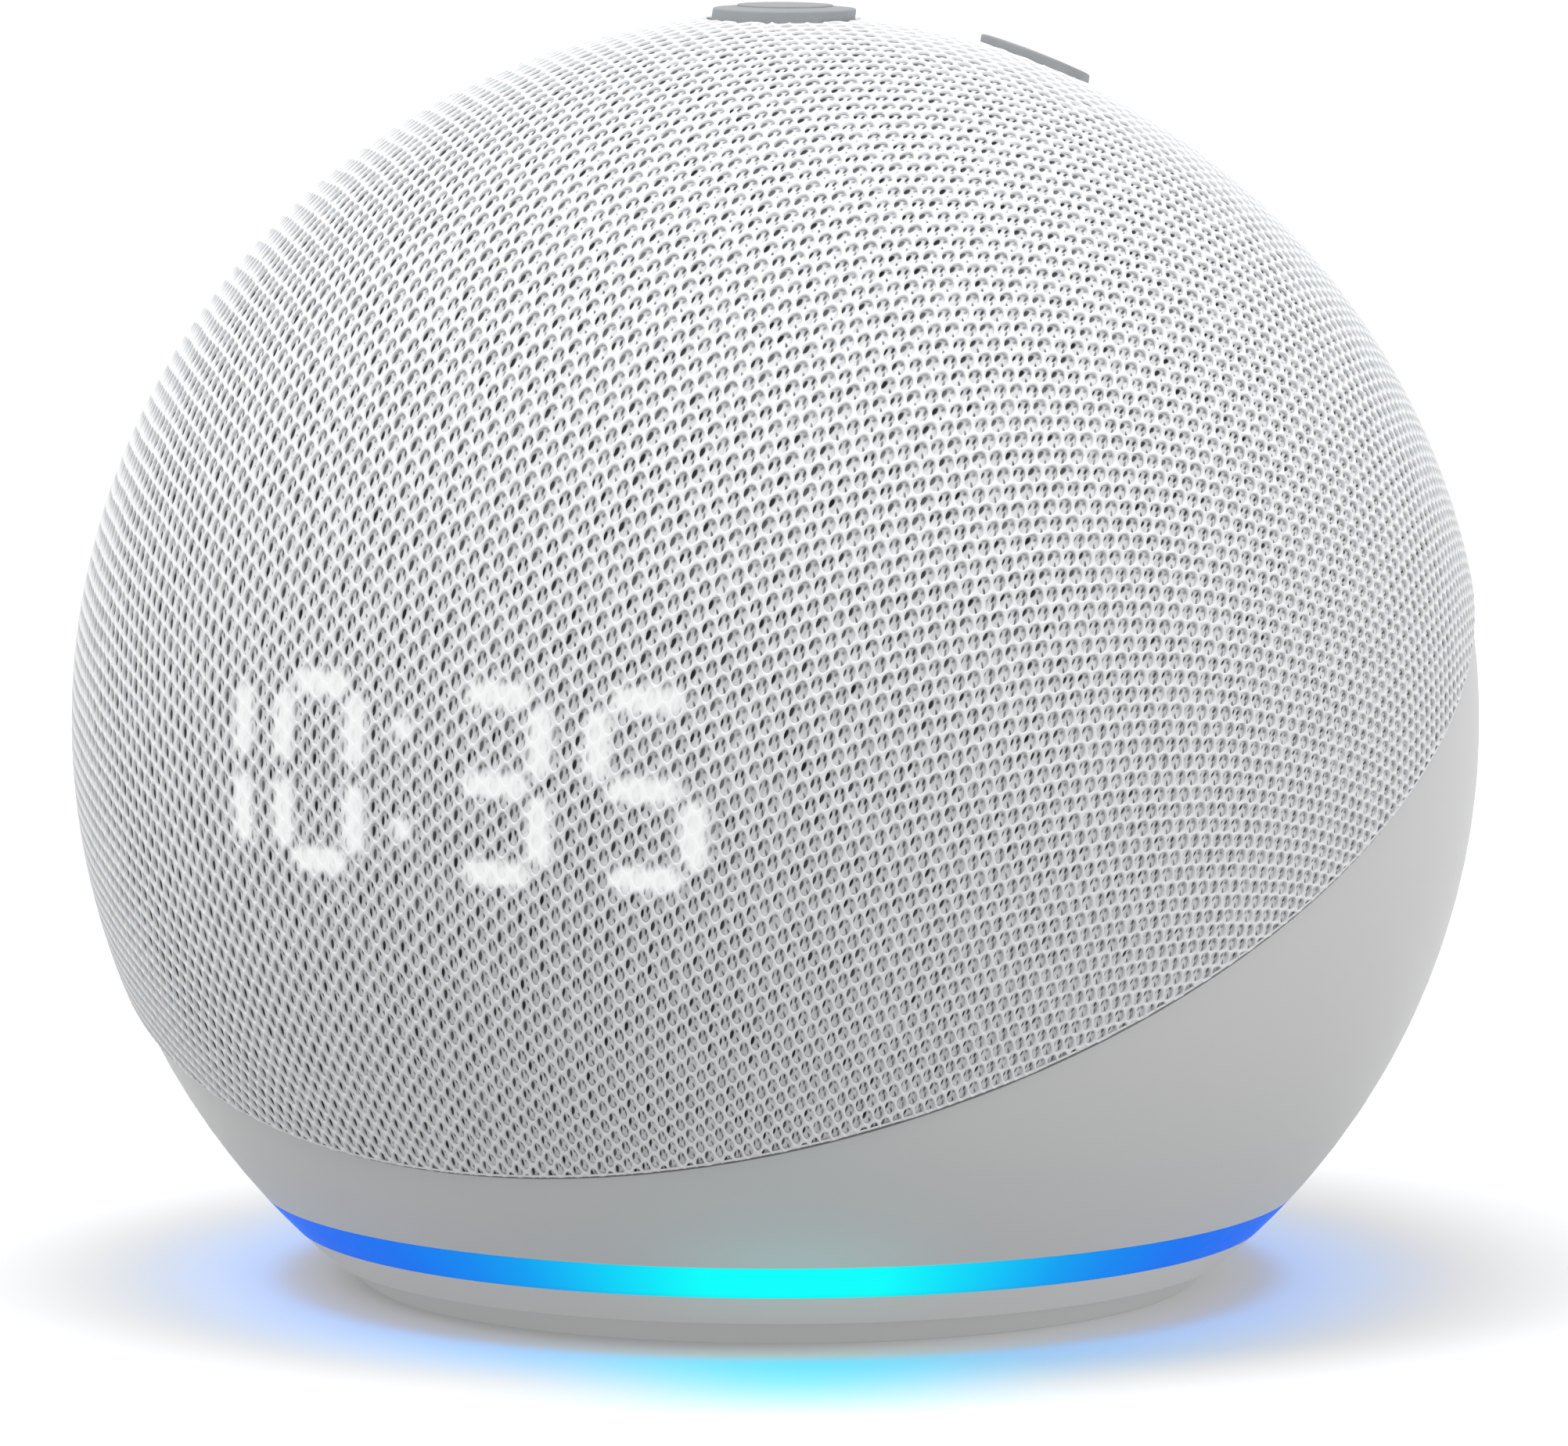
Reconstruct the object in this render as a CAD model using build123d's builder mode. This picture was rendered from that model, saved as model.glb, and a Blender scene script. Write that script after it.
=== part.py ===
"""Ball-shaped tabletop speaker with a clock that shines through its cloth front.

Millimetres, +Z up. The origin is the centre of the foot's underside, where the
speaker stands. The clock faces -Y and the sockets are at the back, on +Y.
"""
from build123d import *
import os
from math import asin, cos, degrees, radians, sin, sqrt

os.makedirs("parts", exist_ok=True)

# ---------------------------------------------------------------- the ball
cover_radius = 50.0  # outside of the cloth
flat_depth = 10.4  # height of the cap that the flat foot takes off the ball
cloth_thickness = 0.8
cloth_step = 0.5  # how far the cloth stands out from the housing
grille_wall = 1.8
housing_wall = 2.2
seam_tilt = 29.4  # the seam between cloth and housing leans this far forward
seam_drop = 2.7  # the seam lies this far below the ball's centre
seam_groove = 0.3

ball_z = cover_radius - flat_depth
grille_radius = cover_radius - cloth_thickness
grille_inside = grille_radius - grille_wall
housing_radius = cover_radius - cloth_step
housing_inside = housing_radius - housing_wall
centre = (0, 0, ball_z)

tilt_sin = sin(radians(seam_tilt))
tilt_cos = cos(radians(seam_tilt))
tilt_axis = Axis(centre, (0, -tilt_sin, tilt_cos))
tilt = Plane(origin=centre, x_dir=(1, 0, 0), z_dir=(0, -tilt_sin, tilt_cos))
tilt_side = Plane(origin=centre, x_dir=(1, 0, 0), z_dir=(0, -tilt_cos, -tilt_sin))
front = Plane(origin=centre, x_dir=(1, 0, 0), z_dir=(0, -1, 0))
side = Plane(origin=(0, 0, 0), x_dir=(1, 0, 0), z_dir=(0, -1, 0))
profile = Plane(origin=(0, 0, 0), x_dir=(0, 1, 0), z_dir=(1, 0, 0))

# ---------------------------------------------------------------- base stack
foot_height = 1.8
foot_inset = 0.25  # the foot's top edge is drawn in, which leaves a fine line
foot_hole = 20.0
base_top = 4.0
ring_top = 6.45
ring_inner = 32.0
ring_lip = 33.4
ring_lip_height = 1.1
light_board_inner = 22.0
light_board_thickness = 1.0
light_board_gap = 0.2
light_count = 12
light_size = (1.0, 2.0, 0.8)

# ---------------------------------------------------------------- base screws
boss_ring = 26.5
boss_angles = (30, 150, 210, 330)
boss_radius = 3.0
boss_split = 9.0  # base posts end and housing bosses begin at this height
boss_top = 18.0
rib_low = 13.0
rib_top = 17.0
rib_width = 2.0
base_screw_radius = 1.25
base_screw_head = 2.4
base_screw_seat = 3.6
base_screw_tip = 15.5
screw_gap = 0.05
hole_gap = 0.4

# ---------------------------------------------------------------- main board
board_low = 11.0
board_thickness = 1.2
board_edge_gap = 3.6
board_front = -22.0
board_top = board_low + board_thickness
post_ring = 18.0
post_radius = 2.0
small_screw_radius = 0.8
small_head_radius = 1.7
small_head_height = 1.0
spreader_size = 24.0
spreader_thickness = 1.5
chip_size = 12.0
chip_thickness = 1.0
pad_thickness = 0.5
cup_clear_height = 17.4  # nothing on the main board reaches this height

# ---------------------------------------------------------------- sockets
panel_thickness = 2.0
pocket_half = 13.0
pocket_low = 11.5
pocket_top = 21.5
pocket_wall = 1.5
power_x = -8.0
power_body = (9.0, 11.0, 9.0)
power_nose_radius = 4.0
power_bore_radius = 2.8
power_bore_depth = 9.0
power_pin_radius = 1.0
audio_x = 8.0
audio_body = (6.0, 12.0, 5.6)
audio_nose_radius = 2.6
audio_bore_radius = 1.8
audio_bore_depth = 13.0
nose_gap = 0.15
socket_clear = 0.25  # from the power socket's low corner to the housing's wall

# ---------------------------------------------------------------- acoustic cup
cup_radius = 24.0
cup_wall = 2.0
cup_floor = 2.0
cup_low = (cup_clear_height - ball_z + cup_radius * tilt_sin) / tilt_cos
cup_back = cup_radius * tilt_cos - cup_low * tilt_sin
cup_front = -cup_radius * tilt_cos - cup_low * tilt_sin
shelf_low = -9.0
shelf_top = -7.0
shelf_inner = 41.0
flange_top = -5.5
flange_gap = 1.0
cup_screw_ring = 43.0
cup_post_radius = 2.2
cup_post_clear = 0.07  # from the front posts' lowest corner down to the main board
cup_post_reach = cup_screw_ring * sin(radians(45)) + cup_post_radius
cup_post_low = round(
    (board_top + cup_post_clear - ball_z + cup_post_reach * tilt_sin) / tilt_cos, 1
)
skirt_inner = 44.8
skirt_wall = 1.6

# ---------------------------------------------------------------- driver
driver_plane = cup_low + 31.0
frame_steel = 1.0
surround_outer = cup_radius - 5.5
cone_outer = surround_outer - 3.0
frame_neck = cup_radius / 2
frame_depth = 9.0
coil_inner = 5.8
coil_outer = 6.2
magnet_radius = frame_neck - 1.0
pole_radius = 5.5
gap_radius = 6.5
plate_thickness = 2.5
magnet_height = 5.0
yoke_thickness = 2.0

# ---------------------------------------------------------------- keys
pad_tilt = 16.0  # the four keys sit this far behind the top of the ball
key_ring = 13.1
pad_sin = sin(radians(pad_tilt))
pad_cos = cos(radians(pad_tilt))
key_list = (
    ("front", 0.0, -1.0, 5.0),
    ("right", 1.0, 0.0, 4.0),
    ("left", -1.0, 0.0, 4.0),
    ("back", 0.0, 1.0, 4.0),
)
key_proud = 0.58
crown_radius = 3.35
crown_height = 0.12
key_side_gap = 0.3
key_edge = 0.15
key_flange = 1.0
key_travel = 0.4
top_board_radius = 19.5
top_board_thickness = 1.2
switch_size = 4.5
switch_height = 1.6
plunger_radius = 1.0
plunger_gap = 0.15
plunger_length = 1.25
plunger_rise = 2.1  # from the key board to the plunger's top
flange_rise = 0.5  # from there to the key's flange
key_head_room = 0.78  # over the widest key's flange, under the dome
key_reach = key_ring + max(key[3] for key in key_list) + key_flange
key_room = key_head_room + key_flange + flange_rise + plunger_rise
top_board_top = round(sqrt(grille_inside**2 - key_reach**2) - key_room, 1)
plunger_top = top_board_top + plunger_rise
flange_low = plunger_top + flange_rise
stem_radius = 1.6
top_boss_ring = 17.5
top_boss_radius = 1.9
mic_ring = 6.0
mic_radius = 0.6

# ---------------------------------------------------------------- clock
digit_centres = (-17.15, -7.05, 7.05, 17.15)
digit_shown = ("bc", "abcdef", "abgcd", "afgcd")
digit_middle = 1.3
digit_half_height = 6.0
digit_half_width = 3.1
stroke = 1.65
stroke_long = 4.9
stroke_taper = 0.55
colon_radius = 0.75
colon_offsets = (-3.4, 3.4)
clock_board_face = cover_radius - 13.6
clock_board_thickness = 1.2
clock_board_half = 26.5
clock_board_low = -7.5
clock_board_top = 10.0
mask_half = 22.0
mask_low = -7.0
mask_top = 9.6
window_gap = 0.3
diode_height = 0.5
clock_boss_x = 24.4
clock_boss_radius = 1.9

# ---------------------------------------------------------------- wiring
plug_size = (8.0, 3.0, 1.5)
slot_x = 8.0  # the clock's flat cable and its slot in the cup's flange
slot_y = -37.5
back_slot_y = 36.0
slot_width = 7.0
slot_depth = 2.6
clock_plug_y = -18.5
clock_plug_z = ball_z - 6.5
clock_back = -(clock_board_face - clock_board_thickness)
top_plug_y = 23.5
top_cable_y = 15.0
cable_cup_gap = 0.72
lead_plug_x = 15.0
lead_plug_y = round(cup_front + 0.54, 1)
lead_wall_gap = 9.0
lead_spots = (
    (cup_radius - 15.0, lead_wall_gap - cup_radius),
    (cup_radius - 12.7, lead_wall_gap - cup_radius),
)
lead_radius = 0.6
flat_width = 5.0
flat_thickness = 0.3
flat_bend = 1.2

# ---------------------------------------------------------------- sound holes
sound_hole_radius = 1.5
sound_ring_step = 6.5
sound_ring_count = 9
sound_clear = 1.2


def ball_at(radius, height):
    """Radius of a ball's level section at a height above the foot."""
    return sqrt(radius**2 - (height - ball_z) ** 2)


def inside_wall(x, height, gap):
    """How far back a corner at x and this height may go and clear the housing's wall."""
    return sqrt(ball_at(housing_inside, height) ** 2 - x**2) - gap


panel_inner = round(inside_wall(abs(power_x) + power_body[0] / 2, board_top, socket_clear), 1)
panel_outer = panel_inner + panel_thickness


def on_tilt(y, height):
    """World Y and Z of a point in the middle plane of the leaning frame."""
    return y * tilt_cos - height * tilt_sin, ball_z + y * tilt_sin + height * tilt_cos


def on_pad(y, height):
    """World Y and Z of a point in the middle plane of the key board's frame."""
    return y * pad_cos + height * pad_sin, ball_z - y * pad_sin + height * pad_cos


def tilted_shell(outer, inner, rim, upward):
    """A round shell about the leaning axis that ends on a flat rim."""
    outer_turn = degrees(asin(rim / outer))
    inner_turn = degrees(asin(rim / inner))
    pole = 90 if upward else -90
    with BuildPart() as shell:
        with BuildSketch(tilt_side):
            with BuildLine():
                outside = CenterArc((0, 0), outer, outer_turn, pole - outer_turn)
                inside = CenterArc((0, 0), inner, inner_turn, pole - inner_turn)
                Line(outside @ 0, inside @ 0)
                Line(outside @ 1, inside @ 1)
            make_face()
        revolve(axis=tilt_axis)
    return shell.part


def tilted_ring(inner, outer, low, high):
    """A flat ring or disc about the leaning axis, between two heights on it."""
    with BuildPart() as ring:
        with BuildSketch(tilt.offset(low)):
            Circle(outer)
            if inner > 0:
                Circle(inner, mode=Mode.SUBTRACT)
        extrude(amount=high - low)
    return ring.part


def tilted_turned(points):
    """A turned piece about the leaning axis from its half section."""
    with BuildPart() as turned:
        with BuildSketch(tilt_side):
            with BuildLine():
                Polyline(*points, close=True)
            make_face()
        revolve(axis=tilt_axis)
    return turned.part


def segment_outline(name, middle):
    """Corners of one clock segment, as it is seen from the front."""
    half = stroke / 2
    reach = stroke_long / 2
    shoulder = reach - stroke_taper
    flat = [(-reach, 0), (-shoulder, half), (shoulder, half)]
    flat += [(reach, 0), (shoulder, -half), (-shoulder, -half)]
    upright = [(y, x) for x, y in flat]
    across = digit_half_width
    above = digit_half_height
    places = {
        "a": (0, above, flat),
        "g": (0, 0, flat),
        "d": (0, -above, flat),
        "b": (across, above / 2, upright),
        "c": (across, -above / 2, upright),
        "e": (-across, -above / 2, upright),
        "f": (-across, above / 2, upright),
    }
    x, z, corners = places[name]
    return [(middle + x + u, digit_middle + z + v) for u, v in corners]


def segment_prisms(shown, low, high):
    """Straight bars behind the clock segments, lit ones or unlit ones."""
    with BuildPart() as bars:
        with BuildSketch(front.offset(low)):
            for middle, lit in zip(digit_centres, digit_shown):
                for name in "abcdefg":
                    if (name in lit) == shown:
                        with BuildLine():
                            Polyline(*segment_outline(name, middle), close=True)
                        make_face()
            if shown:
                with Locations(*[(0, digit_middle + v) for v in colon_offsets]):
                    Circle(colon_radius)
        extrude(amount=high - low)
    return bars.part


def key_prisms(extra, low, high):
    """Round bars on the four key places, each wider than its key by extra."""
    with BuildPart() as bars:
        with BuildSketch(pad.offset(low)):
            for _, x, y, radius in key_list:
                with Locations((x * key_ring, y * key_ring)):
                    Circle(radius + extra)
        extrude(amount=high - low)
    return bars.part


pad = Plane(origin=centre, x_dir=(1, 0, 0), z_dir=(0, pad_sin, pad_cos))
far = cover_radius * 1.2
boss_spots = [(boss_ring * cos(radians(a)), boss_ring * sin(radians(a))) for a in boss_angles]

# ================================================================ cloth cover
with BuildPart() as fabric_cover:
    add(tilted_shell(cover_radius, grille_radius, -seam_drop, True))
    add(key_prisms(key_side_gap, cover_radius * 0.7, far), mode=Mode.SUBTRACT)
fabric_cover.part.label = "fabric_cover"
export_step(fabric_cover.part, "parts/fabric_cover.step")

# ================================================================ grille dome
# Moulded dome under the cloth. A flange and a skirt hold it in the housing.
sound_spots = []
for ring in range(1, sound_ring_count + 1):
    lean = radians(ring * sound_ring_step)
    count = 6 * ring
    for step in range(count):
        turn = radians(360 * (step + 0.5 * (ring % 2)) / count)
        spot = Vector(sin(lean) * cos(turn), sin(lean) * sin(turn), cos(lean))
        world = Vector(
            spot.X,
            spot.Y * tilt_cos - spot.Z * tilt_sin,
            spot.Y * tilt_sin + spot.Z * tilt_cos,
        )
        toward_pad = world.Y * pad_sin + world.Z * pad_cos
        pad_reach = grille_radius * sqrt(max(0, 1 - toward_pad**2))
        clear_pad = pad_reach > top_board_radius + sound_hole_radius + sound_clear
        x = abs(world.X) * grille_radius
        z = world.Z * grille_radius
        below = clock_board_low - z > sound_hole_radius + sound_clear
        above = z - clock_board_top > sound_hole_radius + sound_clear
        beside = x - clock_board_half > sound_hole_radius + sound_clear
        if clear_pad and (below or above or beside):
            sound_spots.append(Plane(origin=centre, z_dir=world))

with BuildPart() as grille_dome:
    add(tilted_shell(grille_radius, grille_inside, -seam_drop, True))
    add(tilted_ring(skirt_inner, grille_inside + 0.3, -seam_drop, -seam_drop + 1.5))
    add(tilted_ring(skirt_inner, skirt_inner + skirt_wall, flange_top, -seam_drop))
    for spot in sound_spots:
        with BuildSketch(spot.offset(grille_inside - 2.0)):
            Circle(sound_hole_radius)
    extrude(amount=grille_wall + 4.0, mode=Mode.SUBTRACT)
    boss_reach = sqrt((grille_radius - 0.9) ** 2 - top_boss_ring**2)
    with BuildSketch(pad.offset(top_board_top)):
        with PolarLocations(top_boss_ring, 4, 45):
            Circle(top_boss_radius)
    extrude(amount=boss_reach - top_board_top)
    clock_reach = sqrt((grille_radius - 1.2) ** 2 - clock_boss_x**2 - digit_middle**2)
    with BuildSketch(front.offset(clock_board_face)):
        with Locations((-clock_boss_x, digit_middle), (clock_boss_x, digit_middle)):
            Circle(clock_boss_radius)
    extrude(amount=clock_reach - clock_board_face)
    add(key_prisms(key_side_gap, cover_radius * 0.7, far), mode=Mode.SUBTRACT)
    with BuildSketch(front.offset(clock_board_face - 1)):
        with Locations((0, (mask_low + mask_top) / 2)):
            Rectangle(2 * (mask_half + window_gap), mask_top - mask_low + 2 * window_gap)
    extrude(amount=far - clock_board_face, mode=Mode.SUBTRACT)
    with BuildSketch(pad.offset(top_board_top)):
        with PolarLocations(top_boss_ring, 4, 45):
            Circle(small_screw_radius + screw_gap)
    extrude(amount=4.5, mode=Mode.SUBTRACT)
    with BuildSketch(front.offset(clock_board_face)):
        with Locations((-clock_boss_x, digit_middle), (clock_boss_x, digit_middle)):
            Circle(small_screw_radius + screw_gap)
    extrude(amount=3.5, mode=Mode.SUBTRACT)
    with BuildSketch(pad.offset(top_board_top + 4)):
        with PolarLocations(mic_ring, 4, 45):
            Circle(mic_radius)
    extrude(amount=cover_radius, mode=Mode.SUBTRACT)
grille_dome.part.label = "grille_dome"
export_step(grille_dome.part, "parts/grille_dome.step")

# ================================================================ rear housing
# Lower and rear shell with an inner shelf, screw bosses and the socket panel.
with BuildPart() as housing_bosses:
    for (x, y), angle in zip(boss_spots, boss_angles):
        with Locations(Location((x, y, boss_split), (0, 0, angle))):
            Cylinder(boss_radius, boss_top - boss_split, align=(Align.CENTER, Align.CENTER, Align.MIN))
        with Locations(Location((x, y, rib_low), (0, 0, angle))):
            Box(cover_radius, rib_width, rib_top - rib_low, align=(Align.MIN, Align.CENTER, Align.MIN))
    with BuildSketch(tilt.offset(cup_post_low)):
        with PolarLocations(cup_screw_ring, 4, 45):
            Circle(cup_post_radius)
    extrude(amount=shelf_low + 0.5 - cup_post_low)
    with Locations((0, panel_inner, pocket_low - pocket_wall)):
        Box(
            2 * (pocket_half + pocket_wall),
            cover_radius,
            pocket_top - pocket_low + 2 * pocket_wall,
            align=(Align.CENTER, Align.MIN, Align.MIN),
        )
    with Locations(centre):
        Sphere(housing_radius - 0.6, mode=Mode.INTERSECT)

with BuildPart() as rear_housing:
    add(tilted_shell(housing_radius, housing_inside, -seam_drop - seam_groove, False))
    add(tilted_ring(shelf_inner, housing_inside + 0.3, shelf_low, shelf_top))
    with Locations((0, 0, ring_top)):
        Box(4 * cover_radius, 4 * cover_radius, cover_radius,
            align=(Align.CENTER, Align.CENTER, Align.MAX), mode=Mode.SUBTRACT)
    add(housing_bosses.part)
    with Locations((0, panel_outer, pocket_low)):
        Box(2 * pocket_half, cover_radius, pocket_top - pocket_low,
            align=(Align.CENTER, Align.MIN, Align.MIN), mode=Mode.SUBTRACT)
    with BuildSketch(side.offset(-panel_outer - 1)):
        with Locations((power_x, board_top + power_body[2] / 2)):
            Circle(power_nose_radius + nose_gap)
        with Locations((audio_x, board_top + audio_body[2] / 2)):
            Circle(audio_nose_radius + nose_gap)
    extrude(amount=panel_thickness + 2, mode=Mode.SUBTRACT)
    with BuildSketch(Plane.XY.offset(boss_split)):
        with Locations(*boss_spots):
            Circle(base_screw_radius + screw_gap)
    extrude(amount=base_screw_tip + 0.5 - boss_split, mode=Mode.SUBTRACT)
    with BuildSketch(tilt.offset(shelf_low - 3)):
        with PolarLocations(cup_screw_ring, 4, 45):
            Circle(small_screw_radius + screw_gap)
    extrude(amount=6, mode=Mode.SUBTRACT)
rear_housing.part.label = "rear_housing"
export_step(rear_housing.part, "parts/rear_housing.step")

# ================================================================ light ring
with BuildPart() as light_ring:
    with BuildSketch(profile):
        low = Vector(ball_at(housing_radius, base_top), base_top)
        high = Vector(ball_at(housing_radius, ring_top), ring_top)
        with BuildLine():
            RadiusArc(low, high, -housing_radius)
            Polyline(high, (ring_lip, ring_top), (ring_lip, ring_top + ring_lip_height),
                     (ring_inner, ring_top + ring_lip_height), (ring_inner, base_top), low)
        make_face()
    revolve(axis=Axis.Z)
light_ring.part.label = "light_ring"
export_step(light_ring.part, "parts/light_ring.step")

# ================================================================ base plate
with BuildPart() as base_plate:
    with BuildSketch(profile):
        low = Vector(ball_at(housing_radius, foot_height), foot_height)
        high = Vector(ball_at(housing_radius, base_top), base_top)
        with BuildLine():
            RadiusArc(low, high, -housing_radius)
            Polyline(high, (0, base_top), (0, foot_height), low)
        make_face()
    revolve(axis=Axis.Z)
    with BuildSketch(Plane.XY.offset(base_top)):
        with Locations(*boss_spots):
            Circle(boss_radius)
    extrude(amount=boss_split - base_top)
    with BuildSketch(Plane.XY.offset(base_top)):
        with PolarLocations(post_ring, 4):
            Circle(post_radius)
    extrude(amount=board_low - base_top)
    spreader_low = board_low - chip_thickness - pad_thickness - spreader_thickness
    with BuildSketch(Plane.XY.offset(base_top)):
        with Locations((spreader_size * 0.375, spreader_size * 0.375),
                       (-spreader_size * 0.375, -spreader_size * 0.375)):
            Circle(post_radius)
    extrude(amount=spreader_low - base_top)
    with BuildSketch(Plane.XY.offset(foot_height)):
        with Locations(*boss_spots):
            Circle(base_screw_head + hole_gap / 2)
    extrude(amount=base_screw_seat - foot_height, mode=Mode.SUBTRACT)
    with BuildSketch(Plane.XY.offset(base_screw_seat)):
        with Locations(*boss_spots):
            Circle(base_screw_radius + 0.15)
    extrude(amount=boss_split, mode=Mode.SUBTRACT)
    with BuildSketch(Plane.XY.offset(board_low)):
        with PolarLocations(post_ring, 4):
            Circle(small_screw_radius + screw_gap)
    extrude(amount=-4.5, mode=Mode.SUBTRACT)
base_plate.part.label = "base_plate"
export_step(base_plate.part, "parts/base_plate.step")

# ================================================================ rubber foot
with BuildPart() as rubber_foot:
    with BuildSketch(profile):
        low = Vector(ball_at(housing_radius, 0) - foot_inset, 0)
        high = Vector(ball_at(housing_radius, foot_height) - foot_inset, foot_height)
        with BuildLine():
            RadiusArc(low, high, -housing_radius)
            Polyline(high, (foot_hole, foot_height), (foot_hole, 0), low)
        make_face()
    revolve(axis=Axis.Z)
    fillet(rubber_foot.faces().sort_by(Axis.Z)[0].outer_wire().edges(), radius=0.35)
rubber_foot.part.label = "rubber_foot"
export_step(rubber_foot.part, "parts/rubber_foot.step")

# ================================================================ base screws
with BuildPart() as base_screws:
    with BuildSketch(Plane.XY.offset(base_screw_seat)):
        with Locations(*boss_spots):
            Circle(base_screw_head)
    extrude(amount=-1.5)
    with BuildSketch(Plane.XY.offset(base_screw_seat)):
        with Locations(*boss_spots):
            Circle(base_screw_radius)
    extrude(amount=base_screw_tip - base_screw_seat)
base_screws.part.label = "base_screws"
export_step(base_screws.part, "parts/base_screws.step")

# ================================================================ ring lights
with BuildPart() as light_board:
    with BuildSketch(Plane.XY.offset(base_top)):
        Circle(ring_inner - light_board_gap)
        Circle(light_board_inner, mode=Mode.SUBTRACT)
        with Locations(*boss_spots):
            Circle(boss_radius + hole_gap, mode=Mode.SUBTRACT)
    extrude(amount=light_board_thickness)
light_board.part.label = "light_board"
export_step(light_board.part, "parts/light_board.step")

light_reach = ring_inner - light_board_gap - 0.6 - light_size[0] / 2
with BuildPart() as ring_lights:
    with Locations((0, 0, base_top + light_board_thickness)):
        with PolarLocations(light_reach, light_count):
            Box(*light_size, align=(Align.CENTER, Align.CENTER, Align.MIN))
ring_lights.part.label = "ring_lights"
export_step(ring_lights.part, "parts/ring_lights.step")

link_low = base_top + light_board_thickness
with BuildPart() as board_link:
    with Locations((boss_ring, 0, link_low)):
        Box(3, 8, board_low - link_low, align=(Align.CENTER, Align.CENTER, Align.MIN))
board_link.part.label = "board_link"
export_step(board_link.part, "parts/board_link.step")

# ================================================================ main board
board_radius = ball_at(housing_inside, board_low) - board_edge_gap
with BuildPart() as main_board:
    with BuildSketch(Plane.XY.offset(board_low)):
        Circle(board_radius)
        with Locations((0, board_front)):
            Rectangle(3 * board_radius, board_radius, align=(Align.CENTER, Align.MAX),
                      mode=Mode.SUBTRACT)
        with Locations(*boss_spots):
            Circle(boss_radius + hole_gap, mode=Mode.SUBTRACT)
        with PolarLocations(post_ring, 4):
            Circle(small_screw_radius + 0.15, mode=Mode.SUBTRACT)
    extrude(amount=board_thickness)
main_board.part.label = "main_board"
export_step(main_board.part, "parts/main_board.step")

with BuildPart() as processor:
    with Locations((0, 0, board_low)):
        Box(chip_size, chip_size, chip_thickness, align=(Align.CENTER, Align.CENTER, Align.MAX))
processor.part.label = "processor"
export_step(processor.part, "parts/processor.step")

with BuildPart() as thermal_pad:
    with Locations((0, 0, board_low - chip_thickness)):
        Box(chip_size, chip_size, pad_thickness, align=(Align.CENTER, Align.CENTER, Align.MAX))
thermal_pad.part.label = "thermal_pad"
export_step(thermal_pad.part, "parts/thermal_pad.step")

with BuildPart() as heat_spreader:
    with Locations((0, 0, spreader_low)):
        Box(spreader_size, spreader_size, spreader_thickness,
            align=(Align.CENTER, Align.CENTER, Align.MIN))
    fillet(heat_spreader.edges().filter_by(Axis.Z), radius=2.0)
heat_spreader.part.label = "heat_spreader"
export_step(heat_spreader.part, "parts/heat_spreader.step")

with BuildPart() as shield_can:
    with Locations((0, -6, board_top)):
        Box(20, 15, 2.2, align=(Align.CENTER, Align.CENTER, Align.MIN))
    top_face = shield_can.faces().sort_by(Axis.Z)[-1]
    fillet(top_face.edges(), radius=0.4)
    with Locations((0, -6, board_top)):
        Box(19.6, 14.6, 1.9, align=(Align.CENTER, Align.CENTER, Align.MIN), mode=Mode.SUBTRACT)
shield_can.part.label = "shield_can"
export_step(shield_can.part, "parts/shield_can.step")

with BuildPart() as amplifier_chip:
    with Locations((0, -6, board_top)):
        Box(9, 9, 1.0, align=(Align.CENTER, Align.CENTER, Align.MIN))
amplifier_chip.part.label = "amplifier_chip"
export_step(amplifier_chip.part, "parts/amplifier_chip.step")

with BuildPart() as wireless_module:
    with Locations((-25.5, 0, board_top)):
        Box(9, 11, 1.8, align=(Align.CENTER, Align.CENTER, Align.MIN))
wireless_module.part.label = "wireless_module"
export_step(wireless_module.part, "parts/wireless_module.step")

with BuildPart() as capacitors:
    with Locations((24.5, -5.8, board_top), (24.5, 0, board_top), (24.5, 5.8, board_top)):
        Cylinder(2.5, 4.6, align=(Align.CENTER, Align.CENTER, Align.MIN))
capacitors.part.label = "capacitors"
export_step(capacitors.part, "parts/capacitors.step")

with BuildPart() as inductors:
    with Locations((13.5, 10, board_top), (-13.5, 10, board_top)):
        Box(5, 5, 3, align=(Align.CENTER, Align.CENTER, Align.MIN))
    fillet(inductors.edges().filter_by(Axis.Z), radius=1.0)
inductors.part.label = "inductors"
export_step(inductors.part, "parts/inductors.step")

with BuildPart() as main_board_screws:
    with BuildSketch(Plane.XY.offset(board_top)):
        with PolarLocations(post_ring, 4):
            Circle(small_head_radius)
    extrude(amount=small_head_height)
    with BuildSketch(Plane.XY.offset(board_top)):
        with PolarLocations(post_ring, 4):
            Circle(small_screw_radius)
    extrude(amount=-5.0)
main_board_screws.part.label = "main_board_screws"
export_step(main_board_screws.part, "parts/main_board_screws.step")

# ================================================================ sockets
power_z = board_top + power_body[2] / 2
with BuildPart() as power_jack:
    with Locations((power_x, panel_inner, board_top)):
        Box(*power_body, align=(Align.CENTER, Align.MAX, Align.MIN))
    with BuildSketch(side.offset(-panel_outer)):
        with Locations((power_x, power_z)):
            Circle(power_nose_radius)
    extrude(amount=panel_thickness)
    with BuildSketch(side.offset(-panel_outer)):
        with Locations((power_x, power_z)):
            Circle(power_bore_radius)
    extrude(amount=power_bore_depth, mode=Mode.SUBTRACT)
power_jack.part.label = "power_jack"
export_step(power_jack.part, "parts/power_jack.step")

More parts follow.
